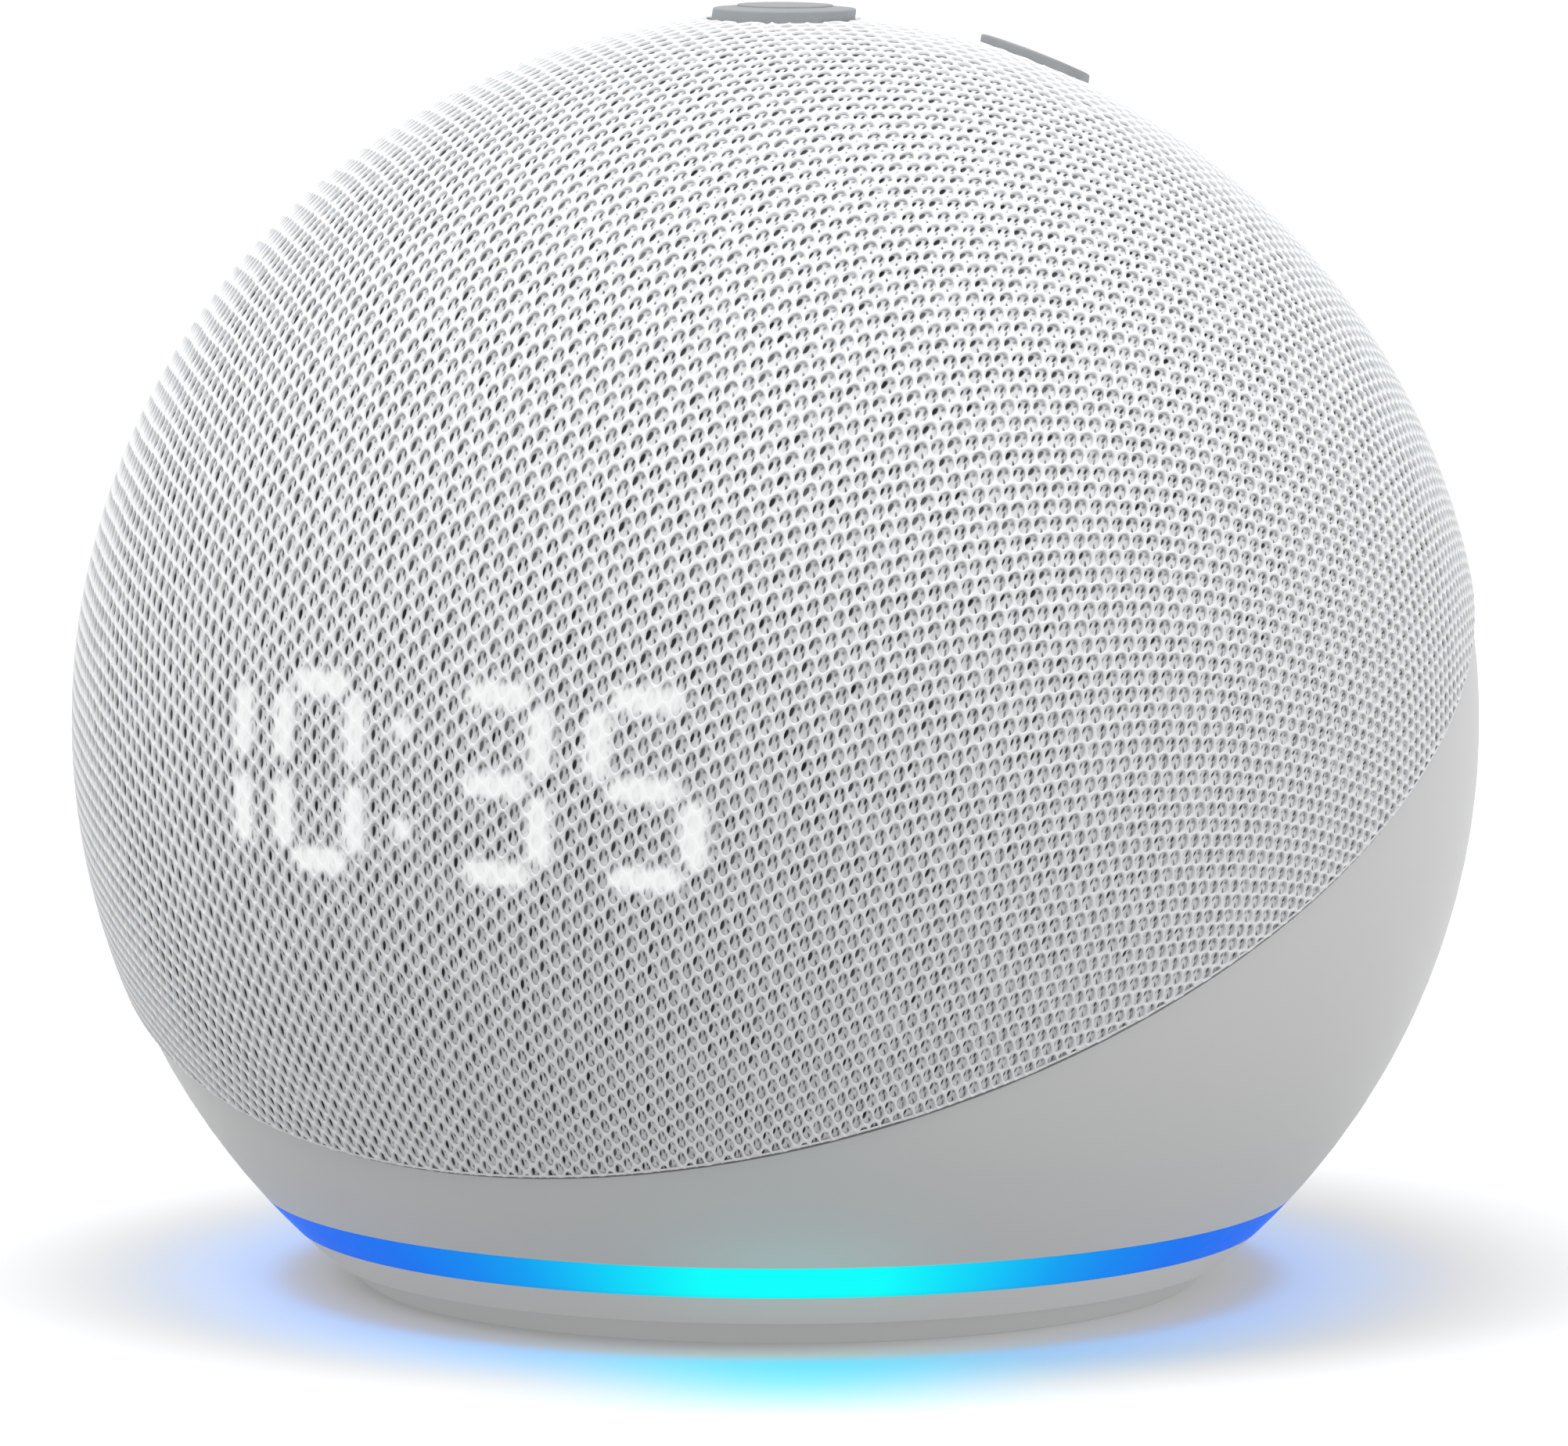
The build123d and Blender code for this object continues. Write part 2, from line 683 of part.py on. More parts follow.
with BuildPart() as power_jack_pin:
    with BuildSketch(side.offset(-panel_outer + power_bore_depth)):
        with Locations((power_x, power_z)):
            Circle(power_pin_radius)
    extrude(amount=-power_bore_depth + 1.0)
    fillet(power_jack_pin.faces().sort_by(Axis.Y)[-1].edges(), radius=0.5)
power_jack_pin.part.label = "power_jack_pin"
export_step(power_jack_pin.part, "parts/power_jack_pin.step")

audio_z = board_top + audio_body[2] / 2
with BuildPart() as audio_jack:
    with Locations((audio_x, panel_inner, board_top)):
        Box(*audio_body, align=(Align.CENTER, Align.MAX, Align.MIN))
    with BuildSketch(side.offset(-panel_outer)):
        with Locations((audio_x, audio_z)):
            Circle(audio_nose_radius)
    extrude(amount=panel_thickness)
    with BuildSketch(side.offset(-panel_outer)):
        with Locations((audio_x, audio_z)):
            Circle(audio_bore_radius)
    extrude(amount=audio_bore_depth, mode=Mode.SUBTRACT)
audio_jack.part.label = "audio_jack"
export_step(audio_jack.part, "parts/audio_jack.step")

# ================================================================ acoustic cup
with BuildPart() as acoustic_cup:
    add(tilted_ring(cup_radius - cup_wall, cup_radius, cup_low, driver_plane))
    add(tilted_ring(0, cup_radius - cup_wall, cup_low, cup_low + cup_floor))
    add(tilted_ring(cup_radius - cup_wall / 2, housing_inside - flange_gap, shelf_top, flange_top))
    add(tilted_ring(cup_radius - 4.0, cup_radius - cup_wall, driver_plane - 5.0, driver_plane))
    with BuildSketch(tilt.offset(shelf_top - 1)):
        with PolarLocations(cup_screw_ring, 4, 45):
            Circle(small_screw_radius + 0.15)
        with Locations((slot_x, slot_y)):
            Rectangle(slot_width, slot_depth)
        with Locations((0, back_slot_y)):
            Rectangle(slot_width, slot_depth)
    extrude(amount=4, mode=Mode.SUBTRACT)
    with BuildSketch(tilt.offset(cup_low - 1)):
        with Locations(*lead_spots):
            Circle(lead_radius + 0.05)
    extrude(amount=cup_floor + 2, mode=Mode.SUBTRACT)
    with BuildSketch(tilt.offset(driver_plane - 4)):
        with PolarLocations(cup_radius - 2, 4, 45):
            Circle(small_screw_radius + screw_gap)
    extrude(amount=5, mode=Mode.SUBTRACT)
acoustic_cup.part.label = "acoustic_cup"
export_step(acoustic_cup.part, "parts/acoustic_cup.step")

with BuildPart() as cup_screws:
    with BuildSketch(tilt.offset(flange_top)):
        with PolarLocations(cup_screw_ring, 4, 45):
            Circle(small_head_radius)
    extrude(amount=small_head_height)
    with BuildSketch(tilt.offset(flange_top)):
        with PolarLocations(cup_screw_ring, 4, 45):
            Circle(small_screw_radius)
    extrude(amount=-6.0)
cup_screws.part.label = "cup_screws"
export_step(cup_screws.part, "parts/cup_screws.step")

# ================================================================ driver
frame_top = driver_plane + frame_steel
neck_top = driver_plane - frame_depth + frame_steel
plate_top = driver_plane - frame_depth
plate_low = plate_top - plate_thickness
magnet_low = plate_low - magnet_height
yoke_low = magnet_low - yoke_thickness
with BuildPart() as driver_frame:
    add(tilted_turned((
        (surround_outer, driver_plane), (cup_radius, driver_plane), (cup_radius, frame_top),
        (surround_outer - 0.5, frame_top), (frame_neck, neck_top), (gap_radius + 0.4, neck_top),
        (gap_radius + 0.4, plate_top), (frame_neck + 0.5, plate_top))))
    with BuildSketch(tilt.offset(plate_top + 2.0)):
        with PolarLocations(frame_neck + 3.2, 6, 0):
            RectangleRounded(3.4, 7.0, 1.2)
    extrude(amount=frame_depth - 3.2, mode=Mode.SUBTRACT)
    with BuildSketch(tilt.offset(driver_plane - 1)):
        with PolarLocations(cup_radius - 2, 4, 45):
            Circle(small_screw_radius + 0.15)
    extrude(amount=3, mode=Mode.SUBTRACT)
driver_frame.part.label = "driver_frame"
export_step(driver_frame.part, "parts/driver_frame.step")

with BuildPart() as driver_top_plate:
    add(tilted_ring(gap_radius, magnet_radius, plate_low, plate_top))
driver_top_plate.part.label = "driver_top_plate"
export_step(driver_top_plate.part, "parts/driver_top_plate.step")

with BuildPart() as driver_magnet:
    add(tilted_ring(gap_radius + 1.0, magnet_radius - 0.2, magnet_low, plate_low))
driver_magnet.part.label = "driver_magnet"
export_step(driver_magnet.part, "parts/driver_magnet.step")

with BuildPart() as driver_yoke:
    add(tilted_ring(0, magnet_radius, yoke_low, magnet_low))
    add(tilted_ring(0, pole_radius, magnet_low, plate_top))
driver_yoke.part.label = "driver_yoke"
export_step(driver_yoke.part, "parts/driver_yoke.step")

terminal_top = driver_plane - 3.4
coil_low = plate_low - 1.2
coil_top = driver_plane - 2.2
with BuildPart() as voice_coil:
    add(tilted_ring(coil_inner, coil_outer, coil_low, coil_top))
voice_coil.part.label = "voice_coil"
export_step(voice_coil.part, "parts/voice_coil.step")

with BuildPart() as cone:
    cone_low = coil_top - 1.0
    cone_top = frame_top - 0.7
    add(tilted_turned((
        (coil_outer, cone_low), (cone_outer, cone_top), (cone_outer, cone_top + 0.5),
        (coil_outer, cone_low + 0.6))))
cone.part.label = "cone"
export_step(cone.part, "parts/cone.step")

with BuildPart() as dust_cap:
    with BuildSketch(tilt_side):
        with BuildLine():
            cap = RadiusArc((0, coil_top + 2.4), (coil_outer, coil_top), 9.2)
            skin = RadiusArc((0, coil_top + 2.0), (coil_outer - 0.5, coil_top), 9.2)
            Line(cap @ 0, skin @ 0)
            Line(cap @ 1, skin @ 1)
        make_face()
    revolve(axis=tilt_axis)
dust_cap.part.label = "dust_cap"
export_step(dust_cap.part, "parts/dust_cap.step")

roll = (surround_outer - cone_outer) / 2
roll_thickness = 0.4
with BuildPart() as surround:
    with BuildSketch(tilt_side):
        with Locations((cone_outer + roll, frame_top)):
            Circle(roll + roll_thickness / 2)
            Circle(roll - roll_thickness / 2, mode=Mode.SUBTRACT)
        with Locations((0, frame_top)):
            Rectangle(4 * cup_radius, 4 * cup_radius, align=(Align.CENTER, Align.MAX),
                      mode=Mode.SUBTRACT)
        with Locations((surround_outer - roll_thickness / 2, frame_top)):
            Rectangle(1.4, roll_thickness, align=(Align.MIN, Align.MIN))
        with Locations((cone_outer + roll_thickness / 2, cone_top + 0.5)):
            Rectangle(roll_thickness, frame_top - cone_top, align=(Align.MAX, Align.MIN))
    revolve(axis=tilt_axis)
surround.part.label = "surround"
export_step(surround.part, "parts/surround.step")

with BuildPart() as spider:
    add(tilted_ring(coil_outer, frame_neck - 0.6, neck_top + 1.4, neck_top + 1.7))
    add(tilted_ring(frame_neck - 1.6, frame_neck - 0.6, neck_top, neck_top + 1.4))
spider.part.label = "spider"
export_step(spider.part, "parts/spider.step")

with BuildPart() as driver_gasket:
    add(tilted_ring(surround_outer + 1.2, cup_radius - 2 - small_head_radius - 0.2,
                    frame_top, frame_top + 1.0))
driver_gasket.part.label = "driver_gasket"
export_step(driver_gasket.part, "parts/driver_gasket.step")

with BuildPart() as driver_screws:
    with BuildSketch(tilt.offset(frame_top)):
        with PolarLocations(cup_radius - 2, 4, 45):
            Circle(small_head_radius)
    extrude(amount=small_head_height)
    with BuildSketch(tilt.offset(frame_top)):
        with PolarLocations(cup_radius - 2, 4, 45):
            Circle(small_screw_radius)
    extrude(amount=-4.6)
driver_screws.part.label = "driver_screws"
export_step(driver_screws.part, "parts/driver_screws.step")

# ================================================================ keys
# Four domed keys that slide square to the key board. The front one has a raised crown.
with BuildPart() as key_crown:
    with BuildSketch(pad.offset(flange_low + key_flange)):
        with Locations((0, -key_ring)):
            Circle(crown_radius)
    extrude(amount=far - flange_low)
    with Locations(centre):
        Sphere(cover_radius + key_proud + crown_height, mode=Mode.INTERSECT)
    fillet(key_crown.faces().filter_by(GeomType.SPHERE).edges(), radius=crown_height * 0.8)

for name, x, y, radius in key_list:
    spot = (x * key_ring, y * key_ring)
    with BuildPart() as key:
        with BuildSketch(pad.offset(flange_low)):
            with Locations(spot):
                Circle(radius)
        extrude(amount=far - flange_low)
        with Locations(centre):
            Sphere(cover_radius + key_proud, mode=Mode.INTERSECT)
        fillet(key.faces().filter_by(GeomType.SPHERE).edges(), radius=key_edge)
        if name == "front":
            add(key_crown.part)
        with BuildSketch(pad.offset(flange_low)):
            with Locations(spot):
                Circle(radius + key_flange)
        extrude(amount=key_flange)
        with BuildSketch(pad.offset(plunger_top)):
            with Locations(spot):
                Circle(stem_radius)
        extrude(amount=flange_low - plunger_top)
    key.part.label = "key_" + name
    export_step(key.part, "parts/key_" + name + ".step")

    with BuildPart() as plunger:
        with BuildSketch(pad.offset(plunger_top)):
            with Locations(spot):
                Circle(plunger_radius)
        extrude(amount=-plunger_length)
    plunger.part.label = "switch_plunger_" + name
    export_step(plunger.part, "parts/switch_plunger_" + name + ".step")

key_spots = [(x * key_ring, y * key_ring) for _, x, y, _ in key_list]
with BuildPart() as top_board:
    with BuildSketch(pad.offset(top_board_top - top_board_thickness)):
        Circle(top_board_radius)
        with PolarLocations(top_boss_ring, 4, 45):
            Circle(small_screw_radius + 0.15, mode=Mode.SUBTRACT)
    extrude(amount=top_board_thickness)
top_board.part.label = "top_board"
export_step(top_board.part, "parts/top_board.step")

with BuildPart() as key_switches:
    with BuildSketch(pad.offset(top_board_top)):
        with Locations(*key_spots):
            Rectangle(switch_size, switch_size)
    extrude(amount=switch_height)
    with BuildSketch(pad.offset(plunger_top - plunger_length - key_travel - 0.1)):
        with Locations(*key_spots):
            Circle(plunger_radius + plunger_gap)
    extrude(amount=4, mode=Mode.SUBTRACT)
key_switches.part.label = "key_switches"
export_step(key_switches.part, "parts/key_switches.step")

with BuildPart() as top_board_screws:
    with BuildSketch(pad.offset(top_board_top - top_board_thickness)):
        with PolarLocations(top_boss_ring, 4, 45):
            Circle(small_head_radius)
    extrude(amount=-small_head_height)
    with BuildSketch(pad.offset(top_board_top - top_board_thickness)):
        with PolarLocations(top_boss_ring, 4, 45):
            Circle(small_screw_radius)
    extrude(amount=5.0)
top_board_screws.part.label = "top_board_screws"
export_step(top_board_screws.part, "parts/top_board_screws.step")

with BuildPart() as microphones:
    with BuildSketch(pad.offset(top_board_top)):
        with PolarLocations(mic_ring, 4, 45):
            Rectangle(3.0, 3.0)
    extrude(amount=1.0)
microphones.part.label = "microphones"
export_step(microphones.part, "parts/microphones.step")

with BuildPart() as microphone_boots:
    with BuildSketch(pad.offset(top_board_top + 1.0)):
        with PolarLocations(mic_ring, 4, 45):
            Circle(1.6)
            Circle(mic_radius, mode=Mode.SUBTRACT)
    extrude(amount=far - top_board_top)
    with Locations(centre):
        Sphere(grille_inside, mode=Mode.INTERSECT)
microphone_boots.part.label = "microphone_boots"
export_step(microphone_boots.part, "parts/microphone_boots.step")

# ================================================================ clock
with BuildPart() as clock_board:
    with BuildSketch(front.offset(clock_board_face)):
        with Locations((0, (clock_board_low + clock_board_top) / 2)):
            RectangleRounded(2 * clock_board_half, clock_board_top - clock_board_low, 2.0)
        with Locations((-clock_boss_x, digit_middle), (clock_boss_x, digit_middle)):
            Circle(small_screw_radius + 0.15, mode=Mode.SUBTRACT)
    extrude(amount=-clock_board_thickness)
clock_board.part.label = "clock_board"
export_step(clock_board.part, "parts/clock_board.step")

with BuildPart() as clock_screws:
    with BuildSketch(front.offset(clock_board_face - clock_board_thickness)):
        with Locations((-clock_boss_x, digit_middle), (clock_boss_x, digit_middle)):
            Circle(small_head_radius)
    extrude(amount=-small_head_height)
    with BuildSketch(front.offset(clock_board_face - clock_board_thickness)):
        with Locations((-clock_boss_x, digit_middle), (clock_boss_x, digit_middle)):
            Circle(small_screw_radius)
    extrude(amount=4.5)
clock_screws.part.label = "clock_screws"
export_step(clock_screws.part, "parts/clock_screws.step")

pipe_low = clock_board_face + diode_height + 0.1
lit_bars = segment_prisms(True, clock_board_face, cover_radius)
dark_bars = segment_prisms(False, clock_board_face, cover_radius)
with BuildPart() as clock_mask:
    with BuildSketch(front.offset(clock_board_face)):
        with Locations((0, (mask_low + mask_top) / 2)):
            Rectangle(2 * mask_half, mask_top - mask_low)
    extrude(amount=cover_radius - clock_board_face)
    with Locations(centre):
        Sphere(grille_radius, mode=Mode.INTERSECT)
    add(lit_bars, mode=Mode.SUBTRACT)
    add(dark_bars, mode=Mode.SUBTRACT)
clock_mask.part.label = "clock_mask"
export_step(clock_mask.part, "parts/clock_mask.step")

with BuildPart() as clock_segments_lit:
    add(segment_prisms(True, pipe_low, cover_radius))
    with Locations(centre):
        Sphere(grille_radius, mode=Mode.INTERSECT)
clock_segments_lit.part.label = "clock_segments_lit"
export_step(clock_segments_lit.part, "parts/clock_segments_lit.step")

with BuildPart() as clock_segments_unlit:
    add(segment_prisms(False, pipe_low, cover_radius))
    with Locations(centre):
        Sphere(grille_radius, mode=Mode.INTERSECT)
clock_segments_unlit.part.label = "clock_segments_unlit"
export_step(clock_segments_unlit.part, "parts/clock_segments_unlit.step")

diode_spots = [(0, digit_middle + v) for v in colon_offsets]
for middle in digit_centres:
    for name in "abcdefg":
        corners = segment_outline(name, middle)
        u = sum(p[0] for p in corners) / 6
        v = sum(p[1] for p in corners) / 6
        diode_spots.append((u, v))
with BuildPart() as clock_diodes:
    with BuildSketch(front.offset(clock_board_face)):
        with Locations(*diode_spots):
            Rectangle(0.9, 0.9)
    extrude(amount=diode_height)
clock_diodes.part.label = "clock_diodes"
export_step(clock_diodes.part, "parts/clock_diodes.step")

# ================================================================ links
with BuildPart() as board_connectors:
    with Locations((slot_x, clock_plug_y, board_top), (0, top_plug_y, board_top),
                   (lead_plug_x, lead_plug_y, board_top)):
        Box(*plug_size, align=(Align.CENTER, Align.CENTER, Align.MIN))
    with Locations((slot_x, clock_back, clock_plug_z)):
        Box(plug_size[0], plug_size[2], plug_size[1], align=(Align.CENTER, Align.MIN, Align.MIN))
board_connectors.part.label = "board_connectors"
export_step(board_connectors.part, "parts/board_connectors.step")

with BuildPart() as clock_cable:
    with BuildSketch(Plane(origin=(slot_x - flat_width / 2, 0, 0), x_dir=(0, 1, 0), z_dir=(1, 0, 0))):
        with BuildLine():
            FilletPolyline(
                (clock_back + plug_size[2] / 2, clock_plug_z),
                (clock_back + plug_size[2] / 2, clock_plug_z - 8.0),
                on_tilt(slot_y, flange_top + 1.0),
                on_tilt(slot_y, shelf_top - 1.0),
                (clock_plug_y - plug_size[1] / 2 - 3.0, board_top + plug_size[2] / 2),
                (clock_plug_y - plug_size[1] / 2, board_top + plug_size[2] / 2),
                radius=flat_bend,
            )
        trace(line_width=flat_thickness)
    extrude(amount=flat_width)
clock_cable.part.label = "clock_cable"
export_step(clock_cable.part, "parts/clock_cable.step")

with BuildPart() as top_cable:
    with BuildSketch(Plane(origin=(-flat_width / 2, 0, 0), x_dir=(0, 1, 0), z_dir=(1, 0, 0))):
        with BuildLine():
            FilletPolyline(
                on_pad(top_cable_y, top_board_top - top_board_thickness),
                on_pad(top_cable_y, top_board_top - top_board_thickness - 3.0),
                on_tilt(back_slot_y, flange_top + 9.0),
                on_tilt(back_slot_y, shelf_top - 3.0),
                (round(cup_back + cable_cup_gap, 1), board_top + 9.0),
                (top_plug_y, board_top + plug_size[2] + 2.0),
                (top_plug_y, board_top + plug_size[2]),
                radius=flat_bend,
            )
        trace(line_width=flat_thickness)
    extrude(amount=flat_width)
top_cable.part.label = "top_cable"
export_step(top_cable.part, "parts/top_cable.step")

with BuildPart() as driver_terminals:
    with BuildSketch(tilt.offset(terminal_top - 3.0)):
        with Locations((sum(x for x, _ in lead_spots) / 2, lead_spots[0][1])):
            Rectangle(4.3, 1.6)
    extrude(amount=3.0)
driver_terminals.part.label = "driver_terminals"
export_step(driver_terminals.part, "parts/driver_terminals.step")

with BuildPart() as speaker_leads:
    for (x, y), plug_x in zip(lead_spots, (lead_plug_x - 1.4, lead_plug_x + 1.4)):
        start = Vector(x, *on_tilt(y, terminal_top - 3.0))
        leave = Vector(x, *on_tilt(y, cup_low - 1.5))
        with BuildLine() as lead_path:
            FilletPolyline(
                start,
                leave,
                (plug_x, lead_plug_y, board_top + plug_size[2] + 2.5),
                (plug_x, lead_plug_y, board_top + plug_size[2]),
                radius=1.2,
            )
        with BuildSketch(Plane(origin=start, z_dir=lead_path.line % 0)):
            Circle(lead_radius)
        sweep(path=lead_path.line)
speaker_leads.part.label = "speaker_leads"
export_step(speaker_leads.part, "parts/speaker_leads.step")
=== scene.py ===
"""Ball-shaped tabletop speaker with a clock that shines through its knitted cover.

Metres, +Z up. The origin is the middle of the foot's underside, the clock faces -Y
and the sockets are on +Y. The file follows the speaker as it is put together.
"""
import math
import bpy
import numpy as np
from mathutils import Matrix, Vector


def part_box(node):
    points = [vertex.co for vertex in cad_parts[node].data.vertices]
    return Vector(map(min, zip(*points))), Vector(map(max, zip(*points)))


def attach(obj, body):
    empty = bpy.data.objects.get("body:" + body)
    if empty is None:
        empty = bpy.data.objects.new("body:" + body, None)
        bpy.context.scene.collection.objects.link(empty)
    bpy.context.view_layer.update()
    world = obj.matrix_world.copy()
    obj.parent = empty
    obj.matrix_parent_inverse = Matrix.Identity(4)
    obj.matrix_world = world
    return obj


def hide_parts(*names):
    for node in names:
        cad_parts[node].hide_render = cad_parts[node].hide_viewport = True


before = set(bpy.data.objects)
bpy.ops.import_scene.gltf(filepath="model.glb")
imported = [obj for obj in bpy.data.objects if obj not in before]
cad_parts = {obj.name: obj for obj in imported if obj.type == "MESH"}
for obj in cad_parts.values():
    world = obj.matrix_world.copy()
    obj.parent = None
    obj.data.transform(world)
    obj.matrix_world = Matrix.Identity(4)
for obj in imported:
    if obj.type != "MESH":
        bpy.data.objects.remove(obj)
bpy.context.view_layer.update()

# ------------------------------------------------------------------ rubber foot
# The foot is a moulded ring of grey thermoplastic rubber with a fine matt skin.
# It is pressed over the base and its top edge is drawn in, which leaves a line.


class Wire:
    """One socket of a material's node tree, or the tree itself. Sums, differences,
    products and quotients of wires and numbers add Math nodes."""

    def __init__(self, tree, socket=None):
        self.tree, self.socket = tree, socket

    def node(self, kind, settings=None, values=None, out=0):
        """Adds a node of this kind. The settings come first, `stops` being a colour
        ramp's (place, colour) pairs, then each socket's value or wire by its key."""
        made = self.tree.nodes.new("ShaderNode" + kind)
        for name, value in (settings or {}).items():
            if name == "stops":
                ramp = made.color_ramp.elements
                while len(ramp) < len(value):
                    ramp.new(1.0)
                for stop, (place, colour) in zip(ramp, value):
                    stop.position, stop.color = place, (*colour, 1.0)
            else:
                setattr(made, name, value)
        for key, value in (values or {}).items():
            if isinstance(value, Wire):
                self.tree.links.new(value.socket, made.inputs[key])
            else:
                made.inputs[key].default_value = value
        return Wire(self.tree, made.outputs[out])

    def maths(self, operation, first, second=0.0, clamp=False):
        """A Math node on two values or wires."""
        settings = {"operation": operation, "use_clamp": clamp}
        return self.node("Math", settings, {0: first, 1: second})

    def __add__(self, other):
        return self.maths("ADD", self, other)

    def __sub__(self, other):
        return self.maths("SUBTRACT", self, other)

    def __rsub__(self, other):
        return self.maths("SUBTRACT", other, self)

    def __mul__(self, other):
        return self.maths("MULTIPLY", self, other)

    def __truediv__(self, other):
        return self.maths("DIVIDE", self, other)

    __radd__, __rmul__ = __add__, __mul__

    def within(self, low, high):
        """0 where the value is at `low`, 1 where it is at `high`, in a soft step."""
        settings = {"interpolation_type": "SMOOTHSTEP"}
        return self.node("MapRange", settings, {0: self, 1: low, 2: high})

    def mixed(self, first, second):
        """A colour that goes from the first to the second as the value rises."""
        first, second = (
            c if isinstance(c, Wire) else (*c, 1.0) for c in (first, second)
        )
        settings = {"data_type": "RGBA"}
        return self.node("Mix", settings, {0: self, 6: first, 7: second}, out=2)

    def axes(self):
        """The three parts of a vector as wires."""
        split = self.node("SeparateXYZ", None, {0: self}).socket.node
        return [Wire(self.tree, s) for s in split.outputs]


def new_finish(name, **constants):
    """A material with one Principled shader whose fixed sockets are set by name,
    underscores standing for spaces. Returns it, its shader and its Object coordinates."""
    finish = bpy.data.materials.new(name)
    finish.use_nodes = True
    tree = Wire(finish.node_tree)
    shader = finish.node_tree.nodes["Principled BSDF"]
    for key, value in constants.items():
        shader.inputs[key.replace("_", " ")].default_value = value
    place = tree.node("TexCoord", None, None, out="Object")
    return finish, shader, place


def feed(shader, **wires):
    """Links wires to a shader's sockets."""
    for key, wire in wires.items():
        wire.tree.links.new(wire.socket, shader.inputs[key.replace("_", " ")])


def speckle(place, grains, detail=3.0, stretch=(1.0, 1.0, 1.0)):
    """Noise of about so many grains to a metre, between 0 and 1."""
    at = place.node("Mapping", None, {0: place, 3: stretch})
    return place.node("TexNoise", None, {"Vector": at, "Scale": grains, "Detail": detail})


def raised(height, strength, distance, under=None):
    """A normal from a height wire, over the normal of another bump if one is given."""
    values = {"Strength": strength, "Distance": distance, "Height": height}
    if under:
        values["Normal"] = under
    return height.node("Bump", None, values)


def moulded(name, colour, rough=0.45, grain=9000.0, skin=0.25, drift=0.035, **fixed):
    """Moulded plastic or rubber: a spark-eroded skin of fine grains, a slow drift of
    shade over the surface and polish that varies with it."""
    finish, shader, place = new_finish(name, **fixed)
    slow = speckle(place, 38.0, 2.0)
    fine = speckle(place, grain, 2.0)
    pale = tuple(c * (1 + drift) for c in colour)
    deep = tuple(c * (1 - drift) for c in colour)
    feed(
        shader,
        Base_Color=(slow * 0.8 + fine * 0.2).mixed(deep, pale),
        Roughness=slow * 0.10 + fine * 0.08 + (rough - 0.09),
        Normal=raised(fine, skin, 0.00002),
    )
    return finish


def wear(finish, *nodes):
    """Puts a finish on carried-over pieces."""
    for name in nodes:
        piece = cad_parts[name]
        if not piece.material_slots:
            piece.data.materials.append(finish)
        for slot in piece.material_slots:
            slot.material = finish


wear(moulded("foot_rubber", (0.66, 0.66, 0.655), 0.62, 7000.0, 0.4), "rubber_foot")

# ------------------------------------------------------------------ base
# The base is a shallow tray of the housing's plastic, held from below by four
# zinc-plated screws. Its skirt shows as a band between the foot and the light.

# The housing's plastic, painted a shade lighter here: painted light that brightens the skirt
# where it sits in the ball's shade.
base_plastic = moulded("base_plastic", (0.74, 0.736, 0.728), 0.42, Emission_Strength=1.0)
wear(base_plastic, "base_plate")


def plated(name, colour, rough, streak=6000.0, along=(1.0, 1.0, 0.06)):
    """Bare or plated metal: drawn or turned streaks that vary its polish, and a
    faint mottle of shade."""
    finish, shader, place = new_finish(name, Metallic=1.0)
    streaks = speckle(place, streak, 3.0, along)
    mottle = speckle(place, 260.0, 3.0)
    pale = tuple(min(1.0, c * 1.06) for c in colour)
    deep = tuple(c * 0.88 for c in colour)
    feed(
        shader,
        Base_Color=mottle.mixed(deep, pale),
        Roughness=streaks * 0.2 + (rough - 0.1),
        Normal=raised(streaks, 0.12, 0.00002),
    )
    return finish


zinc = plated("zinc_plate", (0.62, 0.62, 0.60), 0.34)
wear(zinc, "base_screws", "main_board_screws", "cup_screws", "driver_screws")
wear(zinc, "top_board_screws", "clock_screws")

# ------------------------------------------------------------------ light ring
# A ring of milky acrylic lies flush between the base and the housing. Twelve
# diodes light it: cyan towards the listener, blue everywhere else.

ball_middle = 0.0396
ring_low, ring_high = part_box("light_ring")[0].z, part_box("light_ring")[1].z
listener = math.radians(31.5)


def bearing(place):
    """Angle round the upright axis from the listener's side, in half turns."""
    x, y, z = place.axes()
    turned_x = x * math.cos(listener) + y * math.sin(listener)
    turned_y = x * math.sin(listener) - y * math.cos(listener)
    angle = place.maths("ARCTAN2", turned_x, turned_y)
    return place.maths("ABSOLUTE", angle - 0.02) / math.pi


glow, shader, place = new_finish(
    "lit_acrylic", Roughness=0.42, IOR=1.3, Specular_IOR_Level=0.1,
    Emission_Strength=1.0,
)
lamp_colours = place.node(
    "ValToRGB",
    {
        "stops": (
            (0.00, (0.0, 1.02, 0.96)),
            (0.055, (0.0, 0.98, 0.95)),
            (0.10, (0.0, 0.70, 0.92)),
            (0.135, (0.0, 0.50, 0.90)),
            (0.17, (0.0, 0.335, 0.86)),
            (0.21, (0.0, 0.235, 0.84)),
            (0.27, (0.0, 0.155, 0.83)),
            (0.37, (0.0, 0.115, 0.80)),
            (1.0, (0.0, 0.105, 0.77)),
        )
    },
    {0: bearing(place)},
)
height = place.axes()[2]
top_edge = height.within(ring_high - 0.0006, ring_high - 0.00005)
low_edge = height.within(ring_low + 0.0004, ring_low)
paler = lamp_colours.node(
    "Mix", {"data_type": "RGBA", "blend_type": "ADD"},
    {0: top_edge * 0.85, 6: lamp_colours, 7: (0.055, 0.05, 0.02, 1.0)}, out=2,
)
deeper = (low_edge * 0.14).mixed(paler, (0.02, 0.10, 0.30))
grain_in_light = speckle(place, 900.0, 2.0)
feed(
    shader,
    Base_Color=speckle(place, 2000.0).mixed((0.004, 0.012, 0.03), (0.006, 0.02, 0.045)),
    Roughness=grain_in_light * 0.1 + 0.38,
    Emission_Color=deeper,
)
